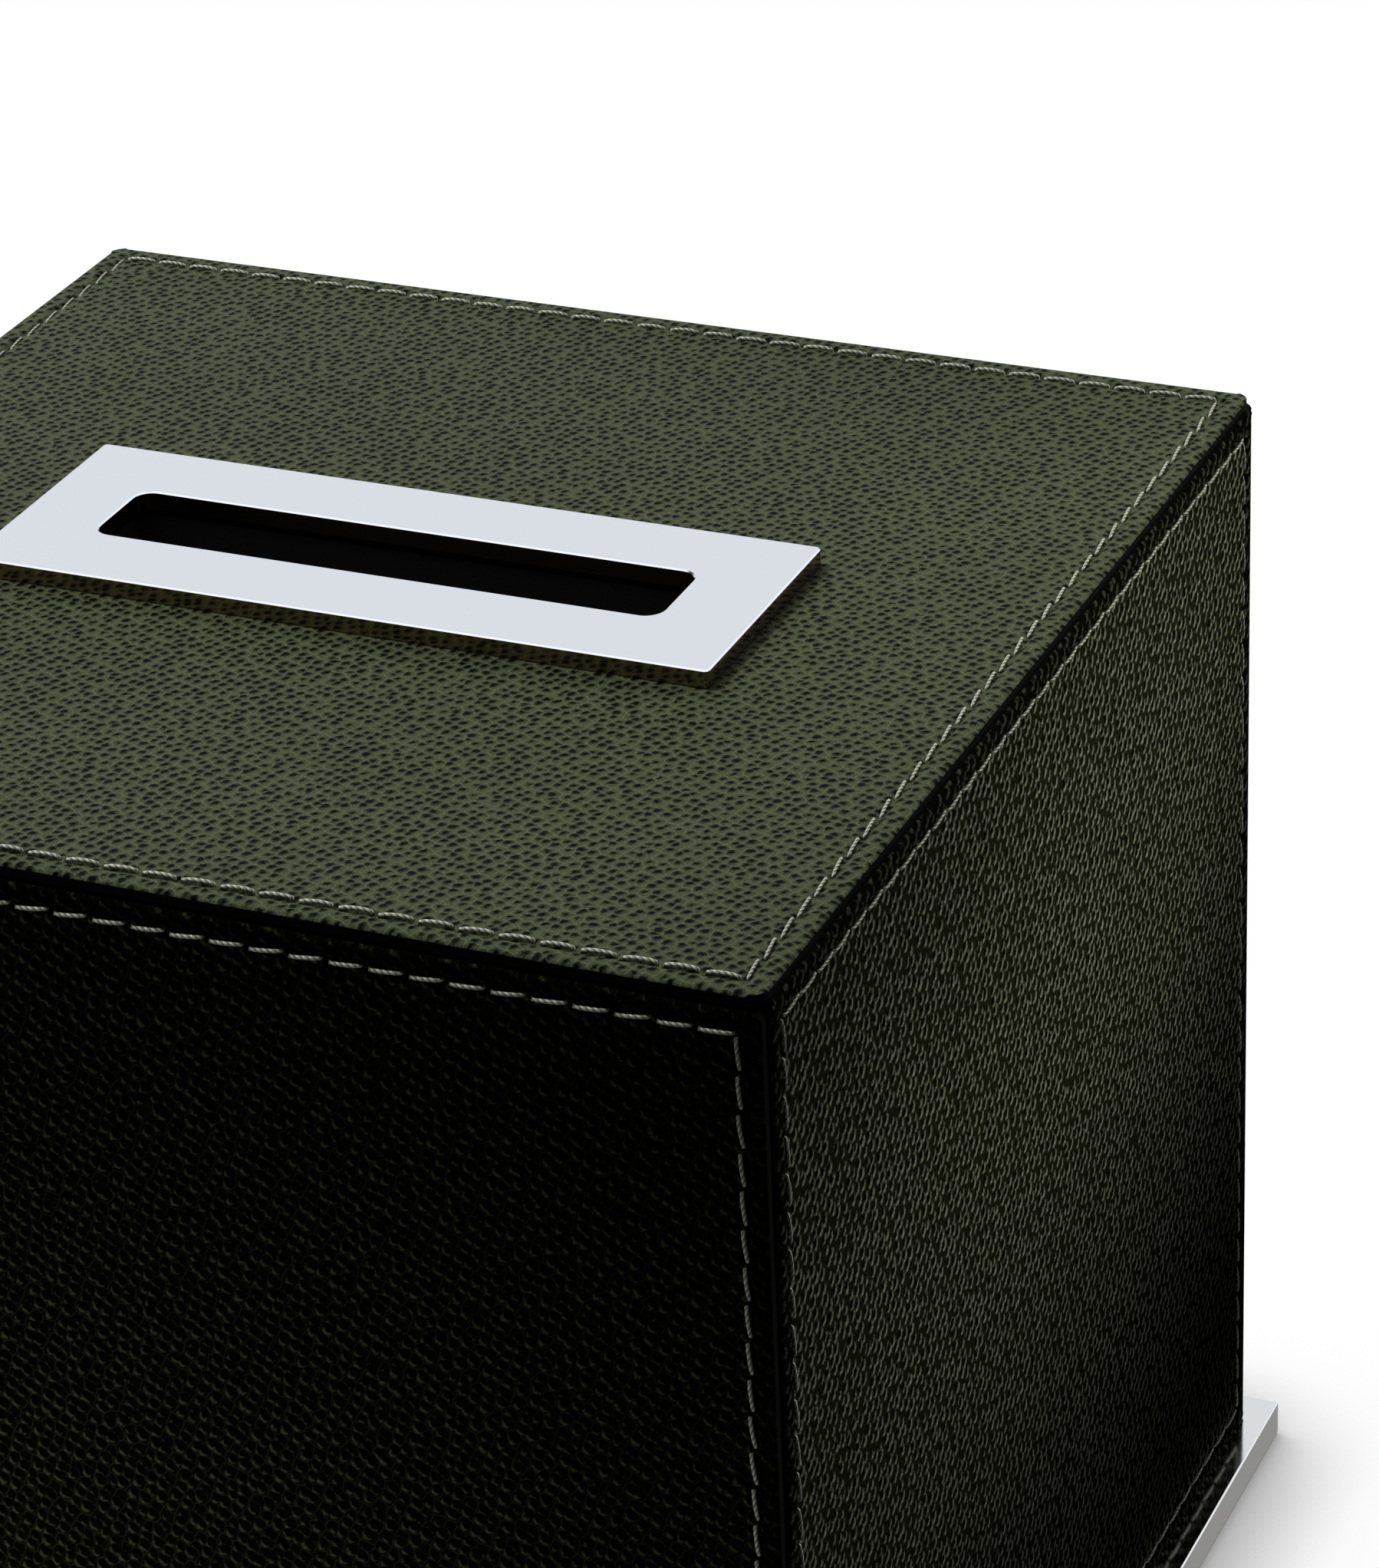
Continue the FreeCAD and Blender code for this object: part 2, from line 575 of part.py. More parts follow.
# ---------------------------------------------------------------------------------------------
# Slotted top plate with its studs, washers and nuts
# ---------------------------------------------------------------------------------------------
def make_top_plate():
    """Make the plate and its fixings; return the tools that open leather, board and lining."""
    body = doc.addObject("PartDesign::Body", "top_plate_blank")
    border = S["plate_border"]
    size = (total(S["slot_length"], border, border), total(S["slot_width"], border, border))
    sketch = rectangle(body, "plate_outline", "XY_Plane", size, ("0", "0", CASE_TOP))
    pad(body, "plate_pad", sketch, S["plate_thickness"])
    dress(body, "Fillet", "plate_corners", edges_along(body.Shape, UP), "Radius", S["plate_corner"])
    size = (S["slot_length"], S["slot_width"])
    face = ("0", "0", total(CASE_TOP, S["plate_thickness"]))
    sketch = rectangle(body, "slot_outline", "XY_Plane", size, face)
    pocket(body, "slot", sketch, S["plate_thickness"])
    within = (sheet.slot_length, sheet.slot_width)
    corners = edges_along(body.Shape, UP, within)
    dress(body, "Fillet", "slot_corners", corners, "Radius", S["slot_corner"])
    upper = edges_furthest(body.Shape, UP)
    dress(body, "Chamfer", "plate_edges", upper, "Size", S["plate_bevel"])

    stud_radius = half(S["stud_diameter"])
    hole_radius = total(stud_radius, S["screw_play"])
    nut_corner = f"({half(S['nut_flats'])} / {math.cos(math.pi / NUT_SIDES)})"
    recess_radius = total(f"max({half(S['washer_diameter'])}; {nut_corner})", S["recess_play"])
    fixings = total(S["washer_thickness"], S["nut_height"], S["recess_room"])
    washer_z = less(total(CEILING, fixings), S["washer_thickness"])
    nut_z = less(washer_z, S["nut_height"])
    stud_z = total(CEILING, S["stud_end_gap"])
    plate = body
    washers, nuts, tools = [], [], []
    for side, sign in SIDES:
        x = f"({sign} * {total(OPENING_X, S['stud_wall'], recess_radius)})"
        stud = rod(f"stud_{side}", stud_radius, less(CASE_TOP, stud_z), (x, "0", stud_z))
        joined = doc.addObject("Part::Fuse", f"plate_with_stud_{side}")
        joined.Base = plate
        joined.Tool = stud
        plate = joined
        hole = rod(f"stud_hole_{side}", hole_radius, less(CASE_TOP, BAY_TOP), (x, "0", BAY_TOP))
        recess = rod(f"nut_recess_{side}", recess_radius, fixings, (x, "0", CEILING))
        tools += [hole, recess]
        washer_radius = half(S["washer_diameter"])
        disc = rod(f"washer_{side}_disc", washer_radius, S["washer_thickness"], (x, "0", washer_z))
        washers.append(cut(f"washer_{side}", disc, [hole]))
        prism = doc.addObject("Part::Prism", f"nut_{side}_prism")
        prism.Polygon = NUT_SIDES
        bind(prism, Circumradius=nut_corner, Height=S["nut_height"])
        place(prism, x, "0", nut_z)
        nuts.append(cut(f"nut_{side}", prism, [hole]))
    plate.Label = "top_plate"
    keep(plate)
    keep(group("plate_washers", washers))
    keep(group("plate_nuts", nuts))
    span_x, span_y = (negative(OPENING_X), OPENING_X), (negative(OPENING_Y), OPENING_Y)
    return [block("slot_opening", span_x, span_y, (BAY_TOP, CASE_TOP))] + tools


# ---------------------------------------------------------------------------------------------
# Drawer: the mitred front with its leather, lining and knob, and the box behind it
# ---------------------------------------------------------------------------------------------
def make_front():
    """Make the drawer's front and return the screw holes that it shares with the box."""
    near = (negative(BOARD_Y), (negative(BOARD_X), BOARD_X), (FRONT_BOTTOM, FRONT_TOP))
    inner_top = less(FRONT_TOP, S["board"])
    far = (negative(INNER_Y), (negative(INNER_X), INNER_X), (FRONT_BOTTOM, inner_top))
    board = mitred("drawer_front_board_blank", near, far)
    size = (total(PANEL_X, PANEL_X), less(FRONT_TOP, FRONT_BOTTOM))
    offset = ("0", middle(FRONT_BOTTOM, FRONT_TOP), BOARD_Y)
    leather = leather_panel("front_leather_sheet", "XZ_Plane", size, offset, FORWARD, False)
    span_y, span_z = (negative(INNER_Y), TRAY_FRONT), (TRAY_LOW, less(BAY_TOP, S["floor_clearance"]))
    lining = block("drawer_front_lining_blank", (negative(TRAY_X), TRAY_X), span_y, span_z)

    points = []
    for way in (-1, 1):
        x = f"({way} * {less(TRAY_INNER_X, S['front_screw_inset'])})"
        for z in (total(TRAY_LOW, S["front_screw_up"]), less(TRAY_TOP, S["front_screw_down"])):
            points.append((x, TRAY_INNER_FRONT, z))
    length = total(S["drawer_side"], S["lining"], S["small_screw_bite"])
    shank, head = S["small_screw_diameter"], S["small_screw_head"]
    screws, holes = screws_and_holes("front_screw", shank, head, length, points, FACING_MINUS_Y)
    keep(group("front_screws", screws))
    knob_hole = make_knob()
    keep(cut("drawer_front_board", board, holes + [knob_hole]))
    keep(cut("drawer_front_leather", leather, [knob_hole]))
    keep(cut("drawer_front_lining", lining, holes + [knob_hole]))
    return holes + [knob_hole]


def make_knob():
    """Turn the knob, make its screw and return the hole for it."""
    body = doc.addObject("PartDesign::Body", "knob_blank")
    sketch = attached_sketch(body, "knob_profile", "XZ_Plane")
    outline(sketch, ((0, 0), (3, 0), (3, 1), (2, 1), (2, 2), (4, 2), (4, 3), (0, 3)))
    sketch.addConstraint(Sketcher.Constraint("Coincident", 0, 1, -1, 1))
    centre = (-1, 1)
    dimension(sketch, "foot_radius", "DistanceX", centre, (0, 2), half(S["knob_foot"]))
    dimension(sketch, "foot_top", "DistanceY", centre, (1, 2), S["knob_foot_thickness"])
    dimension(sketch, "neck_radius", "DistanceX", centre, (2, 2), half(S["knob_neck"]))
    dimension(sketch, "head_under", "DistanceY", centre, (3, 2), less(S["knob_reach"], S["knob_head"]))
    dimension(sketch, "head_radius", "DistanceX", centre, (4, 2), half(S["knob_diameter"]))
    dimension(sketch, "head_face", "DistanceY", centre, (5, 2), S["knob_reach"])
    turned = body.newObject("PartDesign::Revolution", "knob_turned")
    turned.Profile = sketch
    turned.ReferenceAxis = (sketch, ["V_Axis"])
    turned.Angle = FULL_TURN
    doc.recompute()
    rims = []
    for number, edge in enumerate(body.Shape.Edges, start=1):
        round_edge = isinstance(edge.Curve, Part.Circle)
        if round_edge and abs(edge.Curve.Radius - sheet.knob_diameter / 2) < TOUCHING:
            rims.append(f"Edge{number}")
    dress(body, "Fillet", "knob_rim", rims, "Radius", S["knob_round"])
    place(body, "0", negative(SHELL_Y), KNOB_Z, FACING_MINUS_Y)

    through = total(S["drawer_side"], S["lining"], S["board"], S["leather"])
    at = ("0", TRAY_INNER_FRONT, KNOB_Z)
    radius = half(S["knob_screw_diameter"])
    hole_length = total(through, S["knob_screw_bite"], S["screw_play"])
    hole = rod("knob_hole", total(radius, S["screw_play"]), hole_length, at, FACING_MINUS_Y)
    shank = rod("knob_screw_shank", radius, total(through, S["knob_screw_bite"]), at, FACING_MINUS_Y)
    head = rod("knob_screw_head", half(S["knob_screw_head"]), S["knob_screw_head_height"], at, FACING_PLUS_Y)
    screw = doc.addObject("Part::Fuse", "knob_screw")
    screw.Base = shank
    screw.Tool = head
    keep(screw)
    keep(cut("drawer_knob", body, [hole]))
    return hole


def make_drawer_box(front_holes, strike_recesses):
    """Make the drawer's box: inner front, sides, back, bottom and pad."""
    whole_z = (TRAY_LOW, TRAY_TOP)
    inner_x, inner_y = (negative(TRAY_INNER_X), TRAY_INNER_X), (TRAY_INNER_FRONT, TRAY_INNER_BACK)
    bottom_x = total(TRAY_INNER_X, S["housing"])
    bottom_y = (less(TRAY_INNER_FRONT, S["housing"]), total(TRAY_INNER_BACK, S["housing"]))
    span_x = (negative(bottom_x), bottom_x)
    housing_z = (TRAY_BOTTOM_LOW, total(TRAY_BOTTOM_TOP, S["housing_play"]))
    housing = block("bottom_housing", span_x, bottom_y, housing_z)
    keep(block("drawer_bottom", span_x, bottom_y, (TRAY_BOTTOM_LOW, TRAY_BOTTOM_TOP)))
    pad_z = (TRAY_BOTTOM_TOP, total(TRAY_BOTTOM_TOP, S["pad"]))
    keep(block("tray_pad", inner_x, inner_y, pad_z))
    front = block("drawer_box_front_blank", inner_x, (TRAY_FRONT, TRAY_INNER_FRONT), whole_z)
    keep(cut("drawer_box_front", front, [housing] + front_holes))
    back = block("drawer_back_blank", inner_x, (TRAY_INNER_BACK, TRAY_BACK), whole_z)
    keep(cut("drawer_back", back, [housing] + strike_recesses))
    groove_y = (less(RUNNER_FRONT, S["groove_play"]), BAY_BACK)
    groove_z = (less(RUNNER_LOW, S["runner_play"]), total(RUNNER_TOP, S["runner_play"]))
    groove_depth = less(RUNNER_FACE, S["groove_play"])
    for side, sign in SIDES:
        if sign > 0:
            wall_x, groove_x = (TRAY_INNER_X, TRAY_X), (groove_depth, BAY_X)
        else:
            wall_x = (negative(TRAY_X), negative(TRAY_INNER_X))
            groove_x = (negative(BAY_X), negative(groove_depth))
        groove = block(f"runner_groove_{side}", groove_x, groove_y, groove_z)
        wall = block(f"drawer_side_{side}_blank", wall_x, (TRAY_FRONT, TRAY_BACK), whole_z)
        keep(cut(f"drawer_side_{side}", wall, [housing, groove]))


# ---------------------------------------------------------------------------------------------
# Build, check and write
# ---------------------------------------------------------------------------------------------
def check_document():
    """Stop if anything in the document failed, or if a piece is not a sound solid."""
    for item in doc.Objects:
        if "Invalid" in item.State or "Error" in item.State:
            raise RuntimeError(f"{item.Label} failed: {item.State}")
    labels = [piece.Label for piece in pieces]
    if len(set(labels)) != len(labels):
        raise RuntimeError("two pieces share a label")
    for piece in pieces:
        shape = piece.Shape
        if shape.isNull() or not shape.isValid() or not shape.Solids:
            raise RuntimeError(f"{piece.Label} has no sound shape")


def write_pieces():
    """Write each piece to its own file, named after it."""
    os.makedirs("parts", exist_ok=True)
    for piece in pieces:
        piece.Shape.exportStep(f"parts/{piece.Label}.step")
        box = piece.Shape.BoundBox
        low = f"{box.XMin:7.2f} {box.YMin:7.2f} {box.ZMin:7.2f}"
        high = f"{box.XMax:7.2f} {box.YMax:7.2f} {box.ZMax:7.2f}"
        print(f"{piece.Label:22s} solids {len(piece.Shape.Solids)}  low {low}  high {high}")


base_screw_holes = make_base()
plate_openings = make_top_plate()
runner_screw_holes = make_runners()
stop_screw_holes = make_stop()
catch_bores, catch_recesses = make_catch()
make_boards(base_screw_holes, runner_screw_holes, stop_screw_holes, catch_bores, plate_openings)
make_leather(plate_openings)
make_linings(runner_screw_holes, stop_screw_holes, catch_bores, plate_openings)
make_drawer_box(make_front(), catch_recesses)
doc.recompute()
check_document()
write_pieces()
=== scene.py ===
"""Leather tissue box with a drawer: the looks of every piece, and the stage that shows it."""

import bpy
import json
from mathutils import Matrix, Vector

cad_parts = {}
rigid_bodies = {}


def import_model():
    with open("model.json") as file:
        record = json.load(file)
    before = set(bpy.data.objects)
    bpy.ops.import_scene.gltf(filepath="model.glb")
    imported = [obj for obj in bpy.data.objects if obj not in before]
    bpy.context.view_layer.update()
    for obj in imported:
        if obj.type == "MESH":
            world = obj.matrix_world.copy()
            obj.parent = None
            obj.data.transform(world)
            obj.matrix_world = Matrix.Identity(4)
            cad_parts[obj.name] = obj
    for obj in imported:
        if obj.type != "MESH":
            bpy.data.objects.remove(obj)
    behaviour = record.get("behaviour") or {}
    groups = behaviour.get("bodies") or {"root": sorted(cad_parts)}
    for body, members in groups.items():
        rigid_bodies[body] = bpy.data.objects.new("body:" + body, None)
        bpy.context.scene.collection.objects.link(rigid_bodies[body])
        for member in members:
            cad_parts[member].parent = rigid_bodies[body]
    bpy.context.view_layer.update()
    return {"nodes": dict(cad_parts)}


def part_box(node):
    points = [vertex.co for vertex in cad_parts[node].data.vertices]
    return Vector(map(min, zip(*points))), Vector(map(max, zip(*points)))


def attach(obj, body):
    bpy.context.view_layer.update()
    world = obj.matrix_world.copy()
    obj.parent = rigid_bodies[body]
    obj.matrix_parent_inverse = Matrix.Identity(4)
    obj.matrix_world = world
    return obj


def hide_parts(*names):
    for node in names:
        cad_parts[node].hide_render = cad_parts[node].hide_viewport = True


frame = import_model()

import json
import logging
import math
import random
from dataclasses import dataclass, replace
from enum import Enum
from itertools import product
from typing import Callable, Iterable, Sequence

import bmesh
import bpy
from mathutils import Matrix, Vector

log = logging.getLogger("tissue_box")
MM = 0.001
TOP_CORNER = 1.8 * MM
SIDE_CORNER = 0.9 * MM

Colour = tuple[float, float, float]
Point = tuple[float, float, float]
Socket = bpy.types.NodeSocket
Part = bmesh.types.BMFace | bmesh.types.BMEdge
Group = tuple[bpy.types.NodeTree, "Graph", bpy.types.bpy_prop_collection, bpy.types.Node]


# ---------------------------------------------------------------------------------------------
# Choices
# ---------------------------------------------------------------------------------------------
class Facing(Enum):
    """The way a flat panel faces: its across, up and outward directions."""

    TOP = ((1, 0, 0), (0, 1, 0), (0, 0, 1))
    RIGHT = ((0, 1, 0), (0, 0, 1), (1, 0, 0))
    LEFT = ((0, -1, 0), (0, 0, 1), (-1, 0, 0))
    FRONT = ((1, 0, 0), (0, 0, 1), (0, -1, 0))
    BACK = ((-1, 0, 0), (0, 0, 1), (0, 1, 0))
    UNDER = ((1, 0, 0), (0, -1, 0), (0, 0, -1))

    def onto_panel(self) -> Matrix:
        """Return the rotation that takes a point of the box to the panel's own directions."""
        return Matrix(self.value)

    def onto_box(self) -> Matrix:
        """Return the rotation that takes a panel from the bench to the box."""
        return Matrix(self.value).transposed().to_4x4()


class Body(Enum):
    """The two bodies that pieces ride on."""

    CASE = "case"
    DRAWER = "drawer"


class Slot(Enum):
    """The material slots of the part."""

    LEATHER = "leather"
    METAL = "polished_metal"
    STEEL = "fastener_steel"
    NICKEL = "magnet_nickel"
    BOARD = "case_board"
    DRAWER_WOOD = "drawer_wood"
    RUNNER_WOOD = "runner_wood"
    SUEDE = "suede_lining"
    FELT = "base_felt"


# ---------------------------------------------------------------------------------------------
# Bench: modelling with operators
# ---------------------------------------------------------------------------------------------
def clear_selection() -> None:
    """Deselect every object, as before a primitive is added."""
    for other in bpy.context.view_layer.objects:
        other.select_set(False)


def pick(*pieces: bpy.types.Object) -> None:
    """Deselect everything, select the pieces and make the first one active.

    Args:
        pieces: the objects to work on.
    """
    clear_selection()
    for piece in pieces:
        piece.select_set(True)
    bpy.context.view_layer.objects.active = pieces[0]


def fresh(name: str) -> bpy.types.Object:
    """Name the primitive that was just added, apply its transform and return it.

    Args:
        name: the piece's name.

    Returns:
        The new object.
    """
    piece = bpy.context.active_object
    piece.name = piece.data.name = name
    pick(piece)
    bpy.ops.object.transform_apply(location=True, rotation=True, scale=True)
    return piece


def choose(piece: bpy.types.Object, kind: str, test: Callable[[Part], bool]) -> None:
    """Select the faces or edges that pass a test, in edit mode.

    Args:
        piece: the object in edit mode.
        kind: FACE or EDGE.
        test: takes a face or an edge, and says whether it is chosen.
    """
    bpy.ops.mesh.select_mode(type=kind)
    bpy.ops.mesh.select_all(action="DESELECT")
    cage = bmesh.from_edit_mesh(piece.data)
    parts = cage.faces if kind == "FACE" else cage.edges
    for part in [part for part in parts if test(part)]:
        part.select_set(True)
    bmesh.update_edit_mesh(piece.data)


def settle(piece: bpy.types.Object, place: Matrix) -> None:
    """Carry a piece from the bench to its place, and leave its object at the origin.

    Args:
        piece: the object that was modelled on the bench.
        place: the transform from the bench to the box.
    """
    piece.matrix_world = place @ piece.matrix_world
    pick(piece)
    bpy.ops.object.transform_apply(location=True, rotation=True, scale=True)


def smooth(piece: bpy.types.Object, degrees: float = 35.0) -> None:
    """Shade a piece smooth, with creases above the angle given."""
    pick(piece)
    bpy.ops.object.shade_smooth_by_angle(angle=math.radians(degrees))


def install(piece: bpy.types.Object, body: Body, slot: Slot, *nodes: str) -> None:
    """Hang a finished piece on its body and hide the nodes it stands for.

    Args:
        piece: the finished object.
        body: the body it rides on.
        slot: the material slot it takes its finish from; not used.
        nodes: the nodes it replaces, if any.
    """
    if nodes:
        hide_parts(*nodes)
    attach(piece, body.value)
    log.info("%s: %d faces, rides on %s", piece.name, len(piece.data.polygons), body.value)


@dataclass(frozen=True)
class Holes:
    """Round holes on the middle lines of a node's outermost round pieces, such as its screws."""

    node: str
    piece_width: float
    axes: tuple[int, ...]
    radius: float
    DECIMALS = 4

    def centres(self) -> list[Point]:
        """Find a point on each hole's middle line from the bounds of the node, to a tenth of a millimetre.

        Returns:
            The points, one at each end of the node along the axes, 0 to 2, that it is spread over.
        """
        low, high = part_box(self.node)
        places = []
        for axis in range(3):
            ends = (low[axis] + self.piece_width / 2, high[axis] - self.piece_width / 2)
            middles = ends if axis in self.axes else (sum(ends) / 2,)
            places.append([round(middle, self.DECIMALS) for middle in middles])
        return list(product(*places))


@dataclass(frozen=True)
class Opening:
    """The opening under the slotted plate, cut a little wider than the plate's slot."""

    border: float = 9.5 * MM
    margin: float = 1.0 * MM

    @staticmethod
    def plate() -> tuple[float, float]:
        """Return the width and depth of the slotted plate."""
        low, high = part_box("top_plate")
        return high[0] - low[0], high[1] - low[1]

    def size(self) -> tuple[float, float]:
        """Return the opening's width and depth."""
        return tuple(side - 2 * (self.border - self.margin) for side in self.plate())


# ---------------------------------------------------------------------------------------------
# Shader groups: effects that more than one finish uses
# ---------------------------------------------------------------------------------------------
class Graph:
    """A small helper that adds and links nodes in one tree."""

    def __init__(self, tree: bpy.types.NodeTree) -> None:
        """Keep the tree."""
        self.tree = tree

    def add(self, kind: str, inputs: dict | None = None, **settings: object) -> bpy.types.Node:
        """Add a node.

        Args:
            kind: the node's type name without the ShaderNode prefix.
            inputs: socket name or number to a value or to an output socket.
            settings: properties of the node.

        Returns:
            The node.
        """
        node = self.tree.nodes.new("ShaderNode" + kind)
        for name, value in settings.items():
            setattr(node, name, value)
        for socket, value in (inputs or {}).items():
            if isinstance(value, Socket):
                self.tree.links.new(value, node.inputs[socket])
            else:
                node.inputs[socket].default_value = value
        return node

    def math(self, operation: str, first: Socket | float, second: Socket | float = 0.0) -> Socket:
        """Return the result of a Math node."""
        return self.add("Math", {0: first, 1: second}, operation=operation).outputs[0]

    def span(
        self, value: Socket, low: float, high: float, to_low: float, to_high: float, soft: bool = False,
    ) -> Socket:
        """Carry a value from one range to another, and hold it there at both ends.

        Args:
            value: the output to carry over.
            low: where the first range starts.
            high: where it ends.
            to_low: what low becomes.
            to_high: what high becomes.
            soft: whether it eases in and out at the ends.

        Returns:
            The new value.
        """
        kind = "SMOOTHSTEP" if soft else "LINEAR"
        sockets = {"Value": value, "From Min": low, "From Max": high, "To Min": to_low, "To Max": to_high}
        return self.add("MapRange", sockets, interpolation_type=kind).outputs["Result"]

    def blend(
        self, factor: Socket | float, first: Socket | Colour, second: Socket | Colour, mode: str = "MIX",
    ) -> Socket:
        """Mix two colours by a factor.

        Args:
            factor: 0 for the first colour, 1 for the second.
            first: the first colour.
            second: the second colour.
            mode: how they are mixed.

        Returns:
            The mixed colour.
        """
        node = self.add("Mix", data_type="RGBA", blend_type=mode)
        for socket, value in (("Factor_Float", factor), ("A_Color", first), ("B_Color", second)):
            target = next(s for s in node.inputs if s.identifier == socket)
            if isinstance(value, Socket):
                self.tree.links.new(value, target)
            elif isinstance(value, tuple):
                target.default_value = (*value, 1.0)
            else:
                target.default_value = value
        return next(s for s in node.outputs if s.identifier == "Result_Color")

    def light(self, kind: str, colour: Sequence[float], strength: Socket | float) -> Socket:
        """Return a shader that gives off light.

        Args:
            kind: Emission, or Background in a world.
            colour: its colour and opacity.
            strength: how bright it is.

        Returns:
            The shader.
        """
        return self.add(kind, {"Color": colour, "Strength": strength}).outputs[0]

    def either(self, factor: Socket, first: Socket, second: Socket) -> Socket:
        """Return the first shader where the factor is 0 and the second where it is 1."""
        return self.add("MixShader", {0: factor, 1: first, 2: second}).outputs[0]

    def show(self, shader: Socket, output: str) -> None:
        """Link a shader to the tree's output node."""
        self.tree.links.new(shader, self.tree.nodes[output].inputs[0])


def new_group(name: str, inputs: dict[str, float | None], outputs: Sequence[str]) -> Group:
    """Make an empty shader group with named sockets.

    Args:
        name: the group's name.
        inputs: socket name to default value, or None for a vector.
        outputs: names of the value outputs.

    Returns:
        The tree, its Graph, its input sockets by name and its output node.
    """
    tree = bpy.data.node_groups.new(name, "ShaderNodeTree")
    for socket, value in inputs.items():
        kind = "NodeSocketVector" if value is None else "NodeSocketFloat"
        made = tree.interface.new_socket(name=socket, in_out="INPUT", socket_type=kind)
        if value is not None:
            made.default_value = value
    for socket in outputs:
        tree.interface.new_socket(name=socket, in_out="OUTPUT", socket_type="NodeSocketFloat")
    graph = Graph(tree)
    given = tree.nodes.new("NodeGroupInput").outputs
    result = tree.nodes.new("NodeGroupOutput")
    return tree, graph, given, result


def pebble_group() -> bpy.types.NodeTree:
    """Make the embossed leather grain: round hollows, each with painted shade on one side and a painted
    highlight on the other, set apart along Aim.

    Returns:
        A group with Height, Dark, Shine, Ridge and Mottle outputs, from 0 to 1.
    """
    inputs = {
        "Vector": None, "Aim": None, "Density": 620.0, "Stray": 0.5, "Ragged": 0.4, "Crease": 0.45,
        "Uneven": 0.16, "Facet": 0.0, "Pit": 0.0,
    }
    outputs = ("Height", "Dark", "PaintedHighlight", "Ridge", "Mottle")
    tree, graph, given, result = new_group("pebble_grain", inputs, outputs)
    cells = graph.add("VectorMath", {0: given["Vector"], "Scale": given["Density"]}, operation="SCALE")
    drift = graph.add("TexNoise", {"Vector": cells.outputs[0], "Scale": 0.9, "Detail": 2.0})
    centred = graph.add("VectorMath", {0: drift.outputs["Color"], 1: (0.5, 0.5, 0.5)}, operation="SUBTRACT")
    stray = graph.add("VectorMath", {0: centred.outputs[0], "Scale": given["Stray"]}, operation="SCALE")
    spread = graph.add("VectorMath", {0: cells.outputs[0], 1: stray.outputs[0]}, operation="ADD").outputs[0]
    fine = graph.add("TexNoise", {"Vector": cells.outputs[0], "Scale": 4.5, "Detail": 3.0, "Roughness": 0.65})
    wander = graph.math("SUBTRACT", fine.outputs["Fac"], 0.5)
    spots = {"Scale": 1.0, "Randomness": 0.5}

    def cell(shift: float, inner: float, outer: float, wider: Socket | None = None) -> Socket:
        """Return a soft disc in every cell, moved along the Aim direction by a part of the cell.

        Args:
            shift: how far it is moved, in cells, along the Aim direction.
            inner: the radius inside which it is full.
            outer: the radius at which it fades out.
            wider: an output that is added to its radius, if any.

        Returns:
            The disc's strength, from 0 to 1.
        """
        slope = graph.add("VectorMath", {0: given["Aim"], "Scale": shift}, operation="SCALE").outputs[0]
        moved = graph.add("VectorMath", {0: spread, 1: slope}, operation="ADD").outputs[0]
        disc = graph.add("TexVoronoi", {"Vector": moved, **spots}, voronoi_dimensions="2D", feature="F1")
        chance = graph.add("SeparateColor", {0: disc.outputs["Color"]}).outputs[0]
        smaller = graph.math("MULTIPLY", graph.math("MULTIPLY", chance, chance), given["Uneven"])
        ragged = graph.math("MULTIPLY", wander, given["Ragged"])
        reach = graph.math("ADD", graph.math("ADD", disc.outputs["Distance"], smaller), ragged)
        if wider is not None:
            reach = graph.math("SUBTRACT", reach, wider)
        return graph.span(reach, inner, outer, 1.0, 0.0, soft=True)

    bowl = cell(shift=0.0, inner=0.02, outer=0.56)
    # the dark disc is painted shade, the shine disc a painted highlight
    dark = cell(shift=0.12, inner=0.16, outer=0.46, wider=given["Pit"])
    shine = cell(shift=-0.18, inner=0.12, outer=0.36, wider=given["Facet"])
    sockets = {"Vector": spread, **spots}
    net = graph.add("TexVoronoi", sockets, voronoi_dimensions="2D", feature="DISTANCE_TO_EDGE")
    ridge = graph.span(net.outputs["Distance"], 0.01, 0.09, 1.0, 0.0, soft=True)
    crease = graph.math("MULTIPLY", wander, given["Crease"])
    level = graph.math("SUBTRACT", graph.math("MULTIPLY", ridge, 0.03), bowl)
    tree.links.new(graph.math("ADD", graph.math("ADD", level, 0.9), crease), result.inputs["Height"])
    tree.links.new(dark, result.inputs["Dark"])
    tree.links.new(graph.math("MULTIPLY", shine, graph.math("SUBTRACT", 1.0, dark)), result.inputs["PaintedHighlight"])
    tree.links.new(ridge, result.inputs["Ridge"])
    tree.links.new(graph.span(fine.outputs["Fac"], 0.3, 0.7, 0.0, 1.0), result.inputs["Mottle"])
    return tree


def drift_group() -> bpy.types.NodeTree:
    """Make a slow cloudy variation round 1, for tone.

    Returns:
        A group with a Tone output.
    """
    inputs = {"Vector": None, "Density": 30.0, "Amount": 0.1}
    tree, graph, given, result = new_group("tone_drift", inputs, ("Tone",))
    cloud = graph.add("TexNoise", {"Vector": given["Vector"], "Scale": given["Density"], "Detail": 3.0})
    away = graph.math("SUBTRACT", cloud.outputs["Fac"], 0.5)
    swing = graph.math("MULTIPLY", away, graph.math("MULTIPLY", given["Amount"], 4.0))
    tree.links.new(graph.math("ADD", 1.0, swing), result.inputs["Tone"])
    return tree


